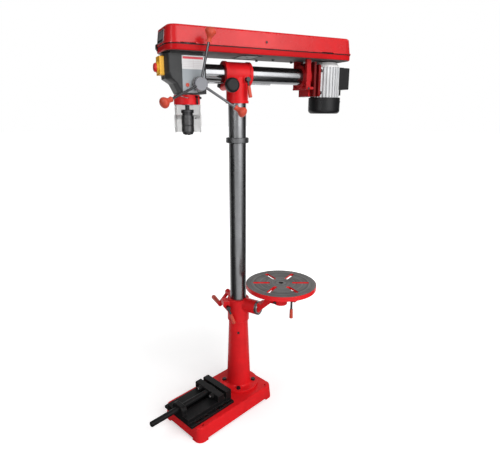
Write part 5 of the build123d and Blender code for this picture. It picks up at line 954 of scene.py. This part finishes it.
def dress_vise():
    """The vise's slot bolts, the plate in its bed and the screws of its jaw."""
    slot_x, slot_y, above = 84.5, 59, 300
    add_piece("vise_bolts", "base", dark_steel,
              [(hex_bolt(across=13, height=6.5, washer=11.5),
                onto("base_casting", BASE,
                     (VISE_X + sx * slot_x, VISE_Y + sy * slot_y + slip, above), DOWN, spin))
               for sx, sy, slip, spin in ((-1, -1, 6, 12), (1, -1, 9, 40), (-1, 1, -8, 25), (1, 1, -5, 3))])
    shoe_half, shoe_height, hole_radius = 17.8, 2.5, 3.4
    shoe = rounded_box(VISE_X - shoe_half, VISE_X + shoe_half, -213, -33, 2.5)
    holes = [(VISE_X, -190), (VISE_X, -120)]
    rims = [circle(x, y, hole_radius) for x, y in holes]
    add_piece("vise_slot_plate", "base", black_cast,
              [(plate(shoe, BASE_TOP, BASE_TOP + shoe_height, rims), BASE)]
              + [(cap_screw(radius=3.2, height=3.2, key=3), moved(BASE, x, y, BASE_TOP)) for x, y in holes])
    add_piece("vise_jaw_screws", "vise_jaw", bright_steel,
              [(cap_screw(radius=5.2, height=4.6, key=5),
                onto("vise_jaw", BASE, (VISE_X + x, -260, 116), BACK)) for x in (-40, 40)])


def dress_feed():
    """Set screws that hold the spokes in the feed hub."""
    parts = []
    for turn in (55, 175, 295):
        y, z = on_circle(90, turn)
        parts.append((cap_screw(radius=2.6, height=1.2, key=2.6),
                      onto("feed_hub", HEAD, (HEAD_SIDE + 27, FEED_Y + y, FEED_Z + z),
                           (0, *on_circle(-1, turn)))))
    add_piece("feed_hub_screws", "feed", dark_steel, parts)


dress_head()
dress_belt_housing()
dress_motor()
dress_guard()
dress_column()
dress_vise()
dress_feed()


# Stage

def make_floor():
    """The pale floor, which shines white to the camera and in reflections."""
    bpy.ops.mesh.primitive_plane_add(size=FLOOR_SIZE)
    floor = bpy.context.object
    floor.name = "floor"
    finish = Finish("pale_floor", Roughness=0.9, Emission_Color=grey(1.0))
    wires = finish.wires
    tone = wires.noise(finish.spot, 2.0)
    finish.feed("Base Color", wires.mix(tone, grey(0.86), grey(0.9)))
    rays = wires.add("ShaderNodeLightPath").outputs
    seen = wires.math("MAXIMUM", rays["Is Camera Ray"], rays["Is Glossy Ray"])
    glow = wires.span(wires.length(finish.spot), FLOOR_NEAR, FLOOR_FAR, FLOOR_GLOW_NEAR, FLOOR_GLOW_FAR, True)
    finish.feed("Emission Strength", wires.math("MULTIPLY", seen, glow))
    floor.data.materials.append(finish.material)


def make_card(name, place, aim, size, glow=0.0):
    """A dark card, or a bright strip, that only shiny surfaces mirror; without an aim it lies flat."""
    bpy.ops.mesh.primitive_plane_add(size=1)
    card = bpy.context.object
    card.name = name
    card.scale = (*size, 1)
    card.location = place
    if aim:
        card.rotation_euler = (Vector(aim) - Vector(place)).to_track_quat("Z", "Y").to_euler()
    finish = Finish(f"{name}_felt", Roughness=1.0, Emission_Color=grey(1.0), Emission_Strength=glow)
    tone = finish.wires.noise(finish.spot, 30.0)
    finish.feed("Base Color", finish.wires.mix(tone, grey(0.02), grey(0.03)))
    card.data.materials.append(finish.material)
    card.visible_camera = card.visible_diffuse = card.visible_shadow = False
    card.visible_transmission = False


def make_world():
    """White to the eye, through the guard and in reflections, and a dimmer light on everything else."""
    world = bpy.data.worlds.new("studio")
    bpy.context.scene.world = world
    world.use_nodes = True
    wires = Wiring(world.node_tree)
    sky = world.node_tree.nodes["Background"]
    sky.inputs["Color"].default_value = grey(1.0)
    rays = wires.add("ShaderNodeLightPath").outputs
    seen = wires.math("MAXIMUM", rays["Is Camera Ray"], rays["Is Transmission Ray"])
    seen = wires.math("MAXIMUM", seen, rays["Is Glossy Ray"])
    wires.plug(sky.inputs["Strength"], wires.span(seen, 0.0, 1.0, AMBIENT, 1.0))


def make_lamp(name, place, aim, size, power):
    lamp = bpy.data.lights.new(name, "AREA")
    lamp.shape = "RECTANGLE"
    lamp.size, lamp.size_y = size
    lamp.energy = power
    body = bpy.data.objects.new(name, lamp)
    body.location = place
    body.rotation_euler = (Vector(aim) - Vector(place)).to_track_quat("-Z", "Y").to_euler()
    bpy.context.scene.collection.objects.link(body)


def make_camera():
    turn, pitch, roll = (math.radians(angle) for angle in (CAMERA_AZIMUTH, CAMERA_PITCH, CAMERA_ROLL))
    level = Vector((-math.sin(turn), math.cos(turn), 0))
    right = Vector((math.cos(turn), math.sin(turn), 0))
    forward = level * math.cos(pitch) - Vector(UP) * math.sin(pitch)
    up = level * math.sin(pitch) + Vector(UP) * math.cos(pitch)
    across = right * math.cos(roll) + up * math.sin(roll)
    above = up * math.cos(roll) - right * math.sin(roll)
    lens = bpy.data.cameras.new("camera")
    lens.sensor_fit = "HORIZONTAL"
    lens.sensor_width = SENSOR_WIDTH
    lens.lens = CAMERA_LENS
    lens.clip_end = CLIP_END
    camera = bpy.data.objects.new("camera", lens)
    camera.matrix_world = Matrix.Translation(CAMERA_PLACE) @ Matrix(
        (across, above, -forward)).transposed().to_4x4()
    bpy.context.scene.collection.objects.link(camera)
    bpy.context.scene.camera = camera


make_floor()
make_world()
make_card("left_card", (-1.5, -2.5, 1.2), MIDDLE, (4.6, 5.0))
make_card("right_card", (1.9, 3.2, 0.9), MIDDLE, (4.0, 3.4))
make_card("ceiling_card", (-0.4, 0.5, 3.4), MIDDLE, (3.6, 3.6))
make_card("far_card", (-2.6, 0.3, 2.2), (0.0, 0.3, 2.2), (2.4, 1.7))
make_card("corner_strip", (0.53, -3.43, 2.24), (0.0, -0.2, 1.59), (0.34, 0.8), glow=48.0)
make_card("left_floor_card", (-0.95, -1.8, 0.004), None, (2.9, 2.8))
make_card("base_floor_card", (0.05, -0.05, 0.003), None, (0.8, 1.1))
make_card("right_floor_card", (2.5, 2.35, 0.004), None, (4.4, 3.7))
make_lamp("key_lamp", (3.4, -0.4, 2.35), MIDDLE, (2.8, 3.2), power=114)
make_lamp("fill_lamp", (-0.6, -3.6, 2.2), MIDDLE, (2.6, 2.6), power=12)
make_lamp("top_lamp", (0.2, 0.2, 4.2), MIDDLE, (2.6, 2.6), power=40)
make_camera()
bpy.context.scene.view_settings.view_transform = "Standard"
